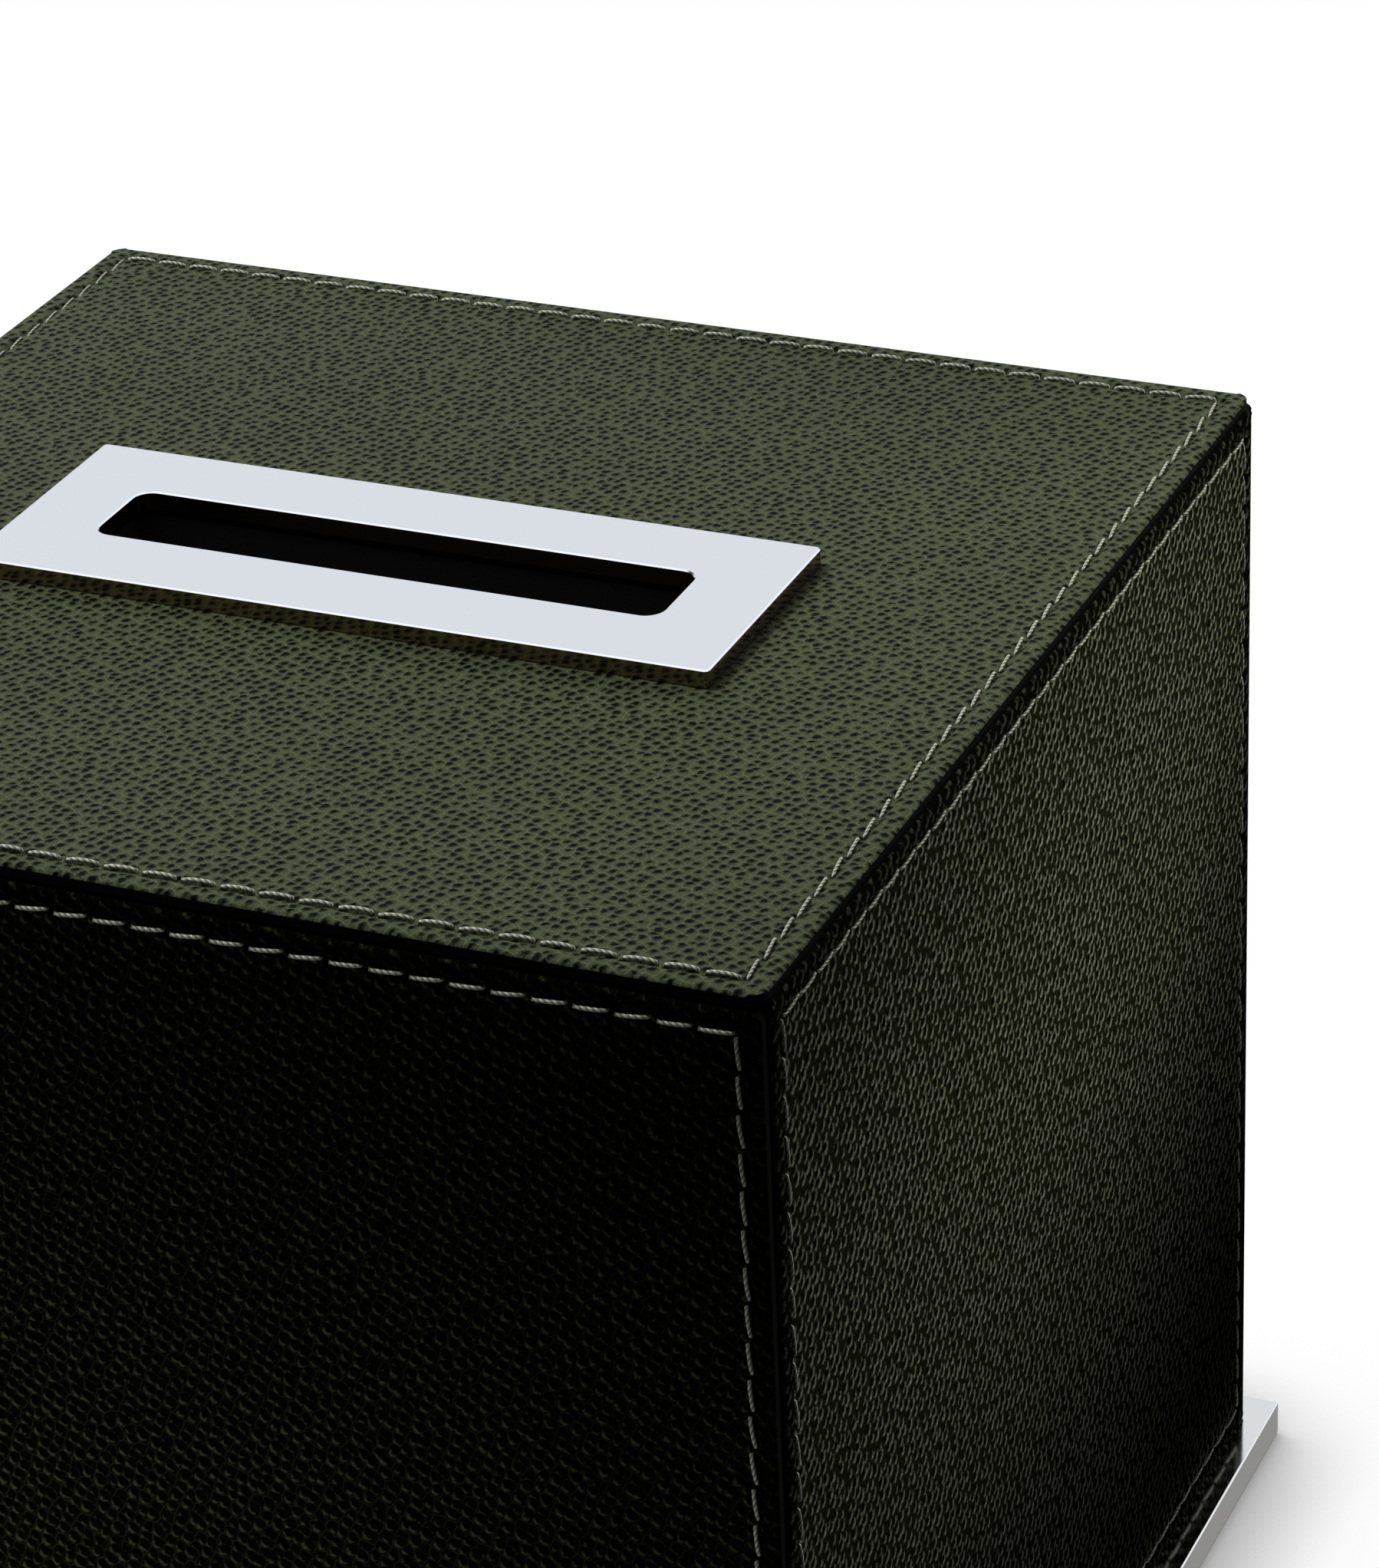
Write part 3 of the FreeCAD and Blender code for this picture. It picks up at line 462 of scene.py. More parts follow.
def nap_group() -> bpy.types.NodeTree:
    """Make a short brushed nap, for suede and felt.

    Returns:
        A group with Height and Tone outputs.
    """
    inputs = {"Vector": None, "Density": 2600.0, "Brush": 60.0, "Amount": 0.3}
    tree, graph, given, result = new_group("short_nap", inputs, ("Height", "Tone"))
    spot = {"Vector": given["Vector"], "Detail": 4.0}
    hairs = graph.add("TexNoise", {**spot, "Scale": given["Density"]}).outputs["Fac"]
    strokes = graph.add("TexNoise", {**spot, "Scale": given["Brush"], "Distortion": 1.2}).outputs["Fac"]
    mixed = graph.math("ADD", graph.math("MULTIPLY", hairs, 0.6), graph.math("MULTIPLY", strokes, 0.4))
    away = graph.math("SUBTRACT", mixed, 0.5)
    swing = graph.math("MULTIPLY", away, graph.math("MULTIPLY", given["Amount"], 4.0))
    tree.links.new(hairs, result.inputs["Height"])
    tree.links.new(graph.math("ADD", 1.0, swing), result.inputs["Tone"])
    return tree


def timber_group() -> bpy.types.NodeTree:
    """Make a plain-sawn figure along Y: growth lines, pores and slow drift.

    Returns:
        A group with Figure and Height outputs.
    """
    inputs = {"Vector": None, "Density": 260.0, "Waviness": 4.0}
    tree, graph, given, result = new_group("timber_figure", inputs, ("Figure", "Height"))
    squeezed = graph.add("Mapping", {"Vector": given["Vector"], "Scale": (1.0, 0.06, 1.0)}).outputs[0]
    growth = {
        "Vector": squeezed, "Scale": given["Density"], "Distortion": given["Waviness"], "Detail": 2.0,
        "Detail Scale": 0.6,
    }
    lines = graph.add("TexWave", growth, bands_direction="DIAGONAL").outputs["Fac"]
    pores = graph.add("TexNoise", {"Vector": squeezed, "Scale": 2400.0, "Detail": 3.0})
    pore = graph.span(pores.outputs["Fac"], 0.5, 0.68, 0.0, 1.0, soft=True)
    figure = graph.math("ADD", graph.math("MULTIPLY", lines, 0.6), graph.math("MULTIPLY", pore, 0.4))
    tree.links.new(figure, result.inputs["Figure"])
    tree.links.new(graph.math("SUBTRACT", 1.0, pore), result.inputs["Height"])
    return tree


def scuff_group() -> bpy.types.NodeTree:
    """Make faint hairlines and handling marks, for metal.

    Returns:
        A group with Height and Haze outputs.
    """
    inputs = {"Vector": None, "Density": 1500.0}
    tree, graph, given, result = new_group("fine_scuffs", inputs, ("Height", "Haze"))
    drawn = {"Vector": given["Vector"], "Scale": (0.05, 1.0, 1.0), "Rotation": (0.0, 0.0, 0.35)}
    along = graph.add("Mapping", drawn).outputs[0]
    lines = graph.add("TexNoise", {"Vector": along, "Scale": given["Density"], "Detail": 2.0}).outputs["Fac"]
    cloud = graph.add("TexNoise", {"Vector": given["Vector"], "Scale": 45.0, "Detail": 3.0})
    patches = graph.span(cloud.outputs["Fac"], 0.4, 0.7, 0.0, 1.0, soft=True)
    tree.links.new(lines, result.inputs["Height"])
    tree.links.new(graph.math("MULTIPLY", patches, lines), result.inputs["Haze"])
    return tree


class Effects:
    """The shared groups, each built once."""

    def __init__(self) -> None:
        """Build every group."""
        self.pebble = pebble_group()
        self.drift = drift_group()
        self.nap = nap_group()
        self.timber = timber_group()
        self.scuff = scuff_group()


class Surface(Graph):
    """A material that is being dressed: its tree, its shader and where a pattern is read."""

    def __init__(
        self, name: str, facing: Facing | None = None, turn: float = 0.0, stretch: float = 1.0,
        lean: float = 0.0,
    ) -> None:
        """Start a material.

        Args:
            name: the material's name.
            facing: the facing whose directions the pattern follows, or None for the box's own.
            turn: angle of the pattern in its plane, in degrees.
            stretch: how much longer the pattern is upwards than across.
            lean: angle that the long direction leans across, in degrees.
        """
        self.material = bpy.data.materials.new(name)
        self.material.use_nodes = True
        super().__init__(self.material.node_tree)
        self.shader = self.tree.nodes["Principled BSDF"]
        spot = self.add("TexCoord").outputs["Object"]
        if facing is not None:
            leaned = Matrix.Rotation(math.radians(lean), 3, "Z") @ facing.onto_panel()
            spot = self.add("Mapping", {"Vector": spot, "Rotation": tuple(leaned.to_euler())}).outputs[0]
            turned = {"Rotation": (0.0, 0.0, math.radians(turn)), "Scale": (1.0, 1.0 / stretch, 1.0)}
            spot = self.add("Mapping", {"Vector": spot, **turned}).outputs[0]
        self.spot = spot

    def group(self, tree: bpy.types.NodeTree, **inputs: float | Colour) -> bpy.types.Node:
        """Place a shared group with its own values.

        Args:
            tree: the group.
            inputs: values for its sockets.

        Returns:
            The group's node.
        """
        node = self.tree.nodes.new("ShaderNodeGroup")
        node.node_tree = tree
        self.tree.links.new(self.spot, node.inputs["Vector"])
        for name, value in inputs.items():
            node.inputs[name].default_value = value
        return node

    def toned(self, effects: Effects, colour: Socket | Colour, density: float, amount: float) -> Socket:
        """Vary a colour slowly over the surface.

        Args:
            effects: the shared groups.
            colour: the colour to vary.
            density: how close the light and dark clouds lie, per metre.
            amount: how far they go from the colour.

        Returns:
            The varied colour.
        """
        drift = self.group(effects.drift, Density=density, Amount=amount)
        return self.blend(1.0, colour, drift.outputs["Tone"], "MULTIPLY")

    def set(self, **values: Socket | Colour | float) -> None:
        """Set or link the shader's sockets.

        Args:
            values: a value or an output for each socket, with underscores for the spaces in its name.
        """
        for name, value in values.items():
            socket = self.shader.inputs[name.replace("_", " ")]
            if isinstance(value, Socket):
                self.tree.links.new(value, socket)
            elif isinstance(value, tuple) and len(value) == 3:
                socket.default_value = (*value, 1.0)
            else:
                socket.default_value = value

    def bump(self, height: Socket, depth: float, strength: float = 1.0) -> None:
        """Feed a height to the shader's normal.

        Args:
            height: the output that carries the height.
            depth: what a height of 1 stands for, in metres.
            strength: how much of it is used.
        """
        node = self.add("Bump", {"Height": height, "Distance": depth, "Strength": strength})
        self.tree.links.new(node.outputs["Normal"], self.shader.inputs["Normal"])


# ---------------------------------------------------------------------------------------------
# Finishes
# ---------------------------------------------------------------------------------------------
@dataclass(frozen=True)
class LeatherFinish:
    """Pebble-grain leather, dyed olive, with a low waxy sheen; its colours hold painted shade in the hollows
    and painted highlights beside them.
    """

    # the first three colours are the leather's own tones; the fourth is a painted highlight and the fifth
    # painted shade
    plateau: Colour = (0.073, 0.087, 0.04)
    crest: Colour = (0.128, 0.147, 0.079)
    ridge: Colour = (0.172, 0.194, 0.112)
    facet: Colour = (0.126, 0.145, 0.075)
    pit: Colour = (0.004, 0.005, 0.002)
    tint: Colour = (0.5, 0.55, 0.4)
    wax: float = 0.04
    density: float = 810.0
    # the next two widen the painted highlight and the painted shade
    highlight_size: float = 0.0
    shade_size: float = 0.0
    stretch: float = 1.0
    depth: float = 0.5 * MM
    turn: float = 21.0
    aim: float = -41.0
    lean: float = 0.0
    rough: float = 0.5
    highlight_rough: float = 0.42
    # the last four: the size of a plate laid on the leather, and the painted shadow beside it: its reach, the
    # share of colour left at the plate's edge, and how much narrower it is beside the plate's long sides
    plate: tuple[float, float] | None = None
    plate_shadow_reach: float = 1.0 * MM
    plate_dark: float = 0.03
    plate_narrowing: float = 4.0

    def shaded(self, part: float) -> "LeatherFinish":
        """Return the same leather darkened to a part of its tone, for painted shade."""
        names = ("plateau", "crest", "ridge", "facet")
        return replace(self, **{name: tuple(part * tone for tone in getattr(self, name)) for name in names})

    def painted_plate_shadow(self, surface: Surface, colour: Socket) -> Socket:
        """Paint a shadow on the leather beside the plate laid on it, widest at the plate's ends.

        Args:
            surface: the leather that is being dressed.
            colour: its colour so far.

        Returns:
            The colour with the dark rim.
        """
        place = surface.add("SeparateXYZ", {0: surface.add("TexCoord").outputs["Object"]}).outputs
        past_x, past_y = (
            surface.math("SUBTRACT", surface.math("ABSOLUTE", place[axis]), side / 2)
            for axis, side in zip("XY", self.plate)
        )
        away = surface.math("MAXIMUM", past_x, surface.math("MULTIPLY", past_y, self.plate_narrowing))
        # painted shadow: dark next to the plate, fading out over its reach
        clear = surface.span(away, 0.0, self.plate_shadow_reach, self.plate_dark, 1.0)
        return surface.blend(clear, self.pit, colour)

    def dress(self, effects: Effects, facing: Facing, name: str = "leather") -> bpy.types.Material:
        """Make the leather for one facing.

        Args:
            effects: the shared groups.
            facing: the way the panel faces.
            name: the first word of the material's name.

        Returns:
            The material.
        """
        surface = Surface(f"{name}_{facing.name.lower()}", facing, self.turn, self.stretch, self.lean)
        heading = math.radians(self.turn + self.aim)
        sizes = {"Density": self.density, "Facet": self.highlight_size, "Pit": self.shade_size}
        aim = (math.cos(heading), math.sin(heading), 0.0)
        grain = surface.group(effects.pebble, Aim=aim, **sizes).outputs
        speckled = surface.blend(grain["Mottle"], self.plateau, self.crest)
        raised = surface.blend(grain["Ridge"], speckled, self.ridge)
        # a painted highlight on one side of the hollows, then painted shade on the other
        with_painted_highlight = surface.blend(grain["PaintedHighlight"], raised, self.facet)
        dyed = surface.blend(grain["Dark"], with_painted_highlight, self.pit)
        colour = surface.toned(effects, dyed, density=34.0, amount=0.07)
        # a painted shadow beside the plate
        if self.plate is not None:
            colour = self.painted_plate_shadow(surface, colour)
        rough = surface.span(grain["PaintedHighlight"], 0.0, 1.0, self.rough, self.highlight_rough)
        surface.set(Base_Color=colour, Roughness=rough, Specular_IOR_Level=self.wax, Specular_Tint=self.tint)
        surface.bump(grain["Height"], self.depth)
        return surface.material


@dataclass(frozen=True)
class EdgePaintFinish:
    """Glossy dark paint that seals the cut edges of the leather."""

    colour: Colour = (0.003, 0.0034, 0.002)
    rough: float = 0.38
    gloss: float = 0.008
    ripple: float = 0.03 * MM

    def dress(self, effects: Effects) -> bpy.types.Material:
        """Make the edge paint.

        Args:
            effects: the shared groups.

        Returns:
            The material.
        """
        surface = Surface("edge_paint")
        colour = surface.toned(effects, self.colour, density=180.0, amount=0.15)
        ripple = surface.add("TexNoise", {"Vector": surface.spot, "Scale": 900.0, "Detail": 2.0})
        surface.set(Base_Color=colour, Roughness=self.rough, Specular_IOR_Level=self.gloss)
        surface.bump(ripple.outputs["Fac"], self.ripple, 0.6)
        return surface.material


@dataclass(frozen=True)
class ThreadFinish:
    """Waxed two-ply linen thread, read along each stitch's own map."""

    ply: Colour = (0.93, 0.95, 0.78)
    groove_shade: Colour = (0.26, 0.27, 0.18)
    twists: float = 2.6
    fuzz: float = 0.25
    rough: float = 0.42
    wax: float = 0.6
    relief: float = 0.09 * MM

    def dress(self) -> bpy.types.Material:
        """Make the thread.

        Returns:
            The material.
        """
        surface = Surface("waxed_thread")
        strand = surface.add("UVMap", uv_map=Stitch.MAP).outputs["UV"]
        along = surface.add("SeparateXYZ", {0: strand}).outputs
        lay = surface.math("ADD", surface.math("MULTIPLY", along["X"], self.twists), along["Y"])
        wave = surface.math("SINE", surface.math("MULTIPLY", lay, 2.0 * math.tau))
        round_ply = surface.span(wave, -1.0, 0.4, 0.0, 1.0, soft=True)
        fibre = surface.add("TexNoise", {"Vector": surface.spot, "Scale": 5200.0, "Detail": 2.0})
        fuzz = surface.math("MULTIPLY", fibre.outputs["Fac"], self.fuzz)
        # the grooves between the plies are painted shade
        colour = surface.blend(round_ply, self.groove_shade, self.ply)
        surface.set(Base_Color=colour, Roughness=self.rough, Specular_IOR_Level=self.wax)
        surface.bump(surface.math("ADD", round_ply, fuzz), self.relief)
        return surface.material


@dataclass(frozen=True)
class MetalFinish:
    """Metal, from mirror polished to plated; if side is given, the cut sides below side_top get a darker,
    warm painted reflection of the leather and are rougher.
    """

    name: str
    colour: Colour
    rough: float
    haze: float = 0.02
    relief: float = 0.0004 * MM
    side: Colour | None = None
    side_rough: float = 0.09
    side_top: float = 0.0
    side_fade: float = 0.05 * MM

    def dress(self, effects: Effects) -> bpy.types.Material:
        """Make the metal.

        Args:
            effects: the shared groups.

        Returns:
            The material.
        """
        surface = Surface(self.name)
        scuff = surface.group(effects.scuff)
        rough = surface.span(scuff.outputs["Haze"], 0.0, 1.0, self.rough, self.rough + self.haze)
        surface.set(Base_Color=self.colour, Metallic=1.0, Roughness=rough)
        # painted reflection: a warm colour on the cut sides, standing in for the leather mirrored in them
        if self.side is not None:
            height = surface.add("SeparateXYZ", {0: surface.spot}).outputs["Z"]
            level = surface.span(height, self.side_top - self.side_fade, self.side_top, 0.0, 1.0, soft=True)
            rough = surface.math("ADD", rough, surface.span(level, 0.0, 1.0, self.side_rough, 0.0))
            surface.set(Base_Color=surface.blend(level, self.side, self.colour), Roughness=rough)
        surface.bump(scuff.outputs["Height"], self.relief)
        return surface.material


@dataclass(frozen=True)
class TimberFinish:
    """Wood with a figure along the drawer's travel."""

    name: str
    light: Colour
    dark: Colour
    rough: float = 0.4
    coat: float = 0.15
    coat_rough: float = 0.3
    pores: float = 0.03 * MM

    def dress(self, effects: Effects) -> bpy.types.Material:
        """Make the wood.

        Args:
            effects: the shared groups.

        Returns:
            The material.
        """
        surface = Surface(self.name)
        timber = surface.group(effects.timber).outputs
        grain = surface.blend(timber["Figure"], self.light, self.dark)
        colour = surface.toned(effects, grain, density=22.0, amount=0.1)
        coat = {"Coat_Weight": self.coat, "Coat_Roughness": self.coat_rough}
        surface.set(Base_Color=colour, Roughness=self.rough, **coat)
        surface.bump(timber["Height"], self.pores)
        return surface.material


@dataclass(frozen=True)
class BoardFinish:
    """Fibreboard dyed through, with packed fibres."""

    light: Colour = (0.01, 0.0095, 0.009)
    dark: Colour = (0.004, 0.004, 0.0036)
    rough: float = 0.75
    fibres: float = 0.05 * MM

    def dress(self, effects: Effects) -> bpy.types.Material:
        """Make the fibreboard.

        Args:
            effects: the shared groups.

        Returns:
            The material.
        """
        surface = Surface("dyed_fibreboard")
        chips = {"Vector": surface.spot, "Scale": 1900.0, "Detail": 4.0, "Roughness": 0.7}
        fibre = surface.add("TexNoise", chips).outputs["Fac"]
        packed = surface.blend(fibre, self.dark, self.light)
        colour = surface.toned(effects, packed, density=60.0, amount=0.12)
        surface.set(Base_Color=colour, Roughness=self.rough)
        surface.bump(fibre, self.fibres)
        return surface.material


@dataclass(frozen=True)
class NapFinish:
    """Suede or felt with a short nap."""

    name: str
    colour: Colour
    density: float
    brush: float
    amount: float
    depth: float = 0.08 * MM
    rough: float = 0.95
    gloss: float = 0.15
    sheen: float = 0.35
    sheen_rough: float = 0.45

    def dress(self, effects: Effects) -> bpy.types.Material:
        """Make the napped cloth.

        Args:
            effects: the shared groups.

        Returns:
            The material.
        """
        surface = Surface(self.name)
        sizes = {"Density": self.density, "Brush": self.brush, "Amount": self.amount}
        nap = surface.group(effects.nap, **sizes).outputs
        colour = surface.blend(1.0, self.colour, nap["Tone"], "MULTIPLY")
        sheen = {"Sheen_Weight": self.sheen, "Sheen_Roughness": self.sheen_rough}
        surface.set(Base_Color=colour, Roughness=self.rough, Specular_IOR_Level=self.gloss, **sheen)
        surface.bump(nap["Height"], self.depth)
        return surface.material


class Wardrobe:
    """Every finish of the box, made once."""

    MIRROR = (0.86, 0.87, 0.89)
    PLATE_SIDE_REFLECTION = (0.34, 0.26, 0.19)
    SIDE_BELOW = 0.16 * MM
    POLISH = 0.03
    RIM_SHADE = 0.3
    FRONT_RIM_SHADE = 0.5
    SIDES = (Facing.RIGHT, Facing.LEFT, Facing.BACK)
    # the standing sides: nearly black ground with bright painted highlights, a lit and shaded copy of the
    # top's leather
    UPRIGHT = LeatherFinish(
        plateau=(0.01, 0.012, 0.005), crest=(0.036, 0.042, 0.019), ridge=(0.014, 0.016, 0.007),
        facet=(0.5, 0.53, 0.37), highlight_size=0.15, shade_size=0.0, stretch=1.32, density=800.0, turn=45.0,
        aim=-8.0, lean=20.0, tint=(0.2, 0.22, 0.16), wax=0.0,
    )
    # the front: a darker copy again for painted shade, with dimmer painted highlights
    FRONT = replace(
        UPRIGHT, plateau=(0.002, 0.0025, 0.001), crest=(0.006, 0.007, 0.0035), ridge=(0.022, 0.025, 0.013),
        facet=(0.14, 0.158, 0.078), highlight_size=0.12, shade_size=0.12, stretch=1.1, density=780.0, turn=115.0,
        aim=-135.0, lean=0.0,
    )

    def __init__(self) -> None:
        """Make the materials."""
        effects = Effects()
        self.leather = {facing: self.UPRIGHT.dress(effects, facing) for facing in self.SIDES}
        # the rim outside the stitching on the sides and front is a darker copy of the leather: painted shade
        rim, front_rim = self.UPRIGHT.shaded(self.RIM_SHADE), self.FRONT.shaded(self.FRONT_RIM_SHADE)
        self.rim = {facing: rim.dress(effects, facing, "rim") for facing in self.SIDES}
        self.leather[Facing.FRONT] = self.FRONT.dress(effects, Facing.FRONT)
        self.rim[Facing.FRONT] = front_rim.dress(effects, Facing.FRONT, "rim")
        # the top leather gets a painted shadow beside the slotted plate
        top = LeatherFinish(plate=Opening.plate())
        self.leather[Facing.TOP] = self.rim[Facing.TOP] = top.dress(effects, Facing.TOP)
        self.edge = EdgePaintFinish().dress(effects)
        side_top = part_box("top_plate")[1][2] - self.SIDE_BELOW
        plate = MetalFinish("mirror_plate", self.MIRROR, self.POLISH, side=self.PLATE_SIDE_REFLECTION, side_top=side_top)
        self.plate = plate.dress(effects)
        self.base = MetalFinish("buffed_base", (0.86, 0.85, 0.83), 0.12).dress(effects)
        self.thread = ThreadFinish().dress()
        finishes = {
            Slot.METAL: MetalFinish("mirror_metal", self.MIRROR, self.POLISH),
            Slot.STEEL: MetalFinish("zinc_steel", (0.52, 0.53, 0.54), 0.28, 0.15, 0.003 * MM),
            Slot.NICKEL: MetalFinish("nickel_plate", (0.62, 0.6, 0.56), 0.14, 0.08, 0.001 * MM),
            Slot.BOARD: BoardFinish(),
            Slot.DRAWER_WOOD: TimberFinish("stained_wood", (0.085, 0.055, 0.036), (0.03, 0.019, 0.013), 0.38),
            Slot.RUNNER_WOOD: TimberFinish("waxed_wood", (0.36, 0.22, 0.12), (0.2, 0.11, 0.055), 0.42),
            Slot.SUEDE: NapFinish("black_suede", (0.011, 0.0105, 0.01), 2600.0, 60.0, 0.3),
            Slot.FELT: NapFinish("black_felt", (0.014, 0.014, 0.014), 1500.0, 300.0, 0.4, 0.15 * MM),
        }
        self.by_slot = {slot: finish.dress(effects) for slot, finish in finishes.items()}


# ---------------------------------------------------------------------------------------------
# Shared makers: flat panels and hand stitching
# ---------------------------------------------------------------------------------------------
@dataclass
class Panel:
    """A thin panel modelled flat on the bench and laid on one face of the box."""

    name: str
    facing: Facing
    low: Vector
    high: Vector
    edge_round: float = 0.45 * MM
    corner_round: float = 0.7 * MM
    seam: float = 2.6 * MM
    channel: float = 1.1 * MM
    channel_depth: float = 0.22 * MM
    rim_rise: float = 0.1 * MM
    NEAR = 0.01 * MM
    LEVEL = 0.99
    MIDDLE = 0.2
    FULL_HEIGHT = 0.9
    CORNER_REACH = 1.0 * MM
    ROUND_STEPS = 4
    PAINT_LIMIT = 0.3
    OPENING_REACH = 0.3
    STEEP = 0.1
    HOLE_SIDES = 32
    HEM = ((4.0 * MM, 0.0), (0.35 * MM, -0.14 * MM), (0.5 * MM, 0.1 * MM))
    SLACK = 0.12 * MM
    SLACK_CUTS = 14
    SLACK_SCALE = 0.018

    def __post_init__(self) -> None:
        """Work out the panel's size and place on the box."""
        turn = self.facing.onto_panel()
        size = turn @ (self.high - self.low)
        self.width, self.height, self.thick = (abs(side) for side in size)
        centre = (self.low + self.high) / 2
        outward = Vector(self.facing.value[2])
        self.place = Matrix.Translation(centre + outward * self.thick / 2) @ self.facing.onto_box()

    def slab(self) -> bpy.types.Object:
        """Add the flat slab on the bench, its outer face up at zero height.

        Returns:
            The slab.
        """
        clear_selection()
        size = (self.width, self.height, self.thick)
        bpy.ops.mesh.primitive_cube_add(size=1.0, location=(0.0, 0.0, -self.thick / 2), scale=size)
        return fresh(self.name)

    def face_up(self, face: bmesh.types.BMFace) -> bool:
        """Say whether a face is the panel's middle one, looking up."""
        return face.normal.z > self.LEVEL and face.calc_center_median().length < self.MIDDLE * self.height

    def on_outline(self, edge: bmesh.types.BMEdge) -> bool:
        """Say whether an edge runs round the outer face.

        Args:
            edge: an edge of the panel on the bench.

        Returns:
            Whether it does.
        """
        middle = (edge.verts[0].co + edge.verts[1].co) / 2
        past = (abs(middle.x) - self.width / 2, abs(middle.y) - self.height / 2)
        at_side = any(abs(distance) < self.NEAR for distance in past)
        return at_side and all(abs(vert.co.z) < self.NEAR for vert in edge.verts)

    def upright(self, edge: bmesh.types.BMEdge) -> bool:
        """Say whether an edge stands at a corner of the panel.

        Args:
            edge: an edge of the panel on the bench.

        Returns:
            Whether it does.
        """
        first, second = (vert.co for vert in edge.verts)
        stands = abs(first.z - second.z) > self.FULL_HEIGHT * self.thick
        return stands and abs(first.x) > self.width / 2 - self.CORNER_REACH

    def press(self, piece: bpy.types.Object, steps: Iterable[tuple[float, float]]) -> None:
        """Inset the middle face again and again, in edit mode.

        Args:
            piece: the slab on the bench.
            steps: how far inwards and how far up each inset goes.
        """
        choose(piece, "FACE", self.face_up)
        for thickness, depth in steps:
            bpy.ops.mesh.inset(thickness=thickness, depth=depth, use_even_offset=True)

    def round_off(self, piece: bpy.types.Object) -> None:
        """Round the corners and then the outline, and leave edit mode.

        Args:
            piece: the panel on the bench, in edit mode.
        """
        rounds = {"segments": self.ROUND_STEPS, "affect": "EDGES", "clamp_overlap": True}
        for test, offset in ((self.upright, self.corner_round), (self.on_outline, self.edge_round)):
            choose(piece, "EDGE", test)
            bpy.ops.mesh.bevel(offset=offset, **rounds)
        bpy.ops.object.mode_set(mode="OBJECT")

    def sewn(self) -> bpy.types.Object:
        """Model the panel with a rolled rim, a channel for the thread and rounded edges.

        Returns:
            The panel on the bench.
        """
        piece = self.slab()
        bpy.ops.object.mode_set(mode="EDIT")
        rim = self.seam - 0.75 * self.channel
        wall = 0.3 * self.channel
        # each step: how far inwards and how far up
        rolled_rim = (
            (0.45 * rim, self.rim_rise),
            (0.35 * rim, 0.0),
            (0.2 * rim, -0.4 * self.rim_rise),
        )
        thread_channel = (
            (wall, -self.channel_depth - 0.6 * self.rim_rise),
            (self.channel - 2 * wall, 0.0),
            (wall, 0.9 * self.channel_depth),
        )
        field = (0.8 * MM, 0.1 * self.channel_depth)
        self.press(piece, (*rolled_rim, *thread_channel, field))
        self.round_off(piece)
        return piece

    def soft(self) -> bpy.types.Object:
        """Model the panel as cloth drawn over a board: rounded edges, a pressed hem and a slack middle.

        Returns:
            The cloth on the bench.
        """
        piece = self.slab()
        bpy.ops.object.mode_set(mode="EDIT")
        self.press(piece, self.HEM)
        bpy.ops.mesh.subdivide(number_cuts=self.SLACK_CUTS)
        bpy.ops.object.mode_set(mode="OBJECT")
        group = piece.vertex_groups.new(name="middle")
        inner = [v.index for v in piece.data.vertices if v.co.z > -0.5 * self.thick and self.off_hem(v.co)]
        group.add(inner, 1.0, "REPLACE")
        clouds = bpy.data.textures.new(f"{self.name}_slack", "CLOUDS")
        clouds.noise_scale = self.SLACK_SCALE
        slack = piece.modifiers.new("slack", "DISPLACE")
        slack.texture, slack.vertex_group, slack.direction = clouds, group.name, "Z"
        slack.strength, slack.mid_level = self.SLACK, 1.0
        bpy.ops.object.modifier_apply(modifier=slack.name)
        bpy.ops.object.mode_set(mode="EDIT")
        self.round_off(piece)
        return piece

    def off_hem(self, spot: Vector) -> bool:
        """Say whether a point on the bench lies inside the hem."""
        hem = sum(thickness for thickness, depth in self.HEM) + self.NEAR
        return abs(spot.x) < self.width / 2 - hem and abs(spot.y) < self.height / 2 - hem

    def on_bench(self, point: Point) -> Vector:
        """Return where a point of the box lies on the bench, at half the panel's thickness."""
        spot = self.place.inverted() @ Vector(point)
        return Vector((spot.x, spot.y, -self.thick / 2))

    def cut(self, piece: bpy.types.Object, cutter: bpy.types.Object) -> None:
        """Take a cutter's form out of the panel and throw the cutter away.

        Args:
            piece: the panel on the bench.
            cutter: the form that is cut out.
        """
        pick(piece)
        hollow = piece.modifiers.new("hollow", "BOOLEAN")
        hollow.operation, hollow.object, hollow.solver = "DIFFERENCE", cutter, "EXACT"
        bpy.ops.object.modifier_apply(modifier=hollow.name)
        bpy.data.objects.remove(cutter)

    def bore(self, piece: bpy.types.Object, holes: Holes) -> None:
        """Bore round holes through the panel.

        Args:
            piece: the panel on the bench.
            holes: the holes.
        """
        size = {"vertices": self.HOLE_SIDES, "radius": holes.radius, "depth": 4 * self.thick}
        for point in holes.centres():
            clear_selection()
            bpy.ops.mesh.primitive_cylinder_add(location=self.on_bench(point), **size)
            self.cut(piece, fresh("bore"))

    def open_slot(self, piece: bpy.types.Object, opening: Opening) -> None:
        """Cut the opening for the tissue through the panel, in the middle of the box.

        Args:
            piece: the panel on the bench.
            opening: the opening.
        """
        clear_selection()
        scale = (*opening.size(), 4 * self.thick)
        middle = self.on_bench((0.0, 0.0, 0.0))
        bpy.ops.mesh.primitive_cube_add(size=1.0, location=middle, scale=scale)
        self.cut(piece, fresh("slot"))

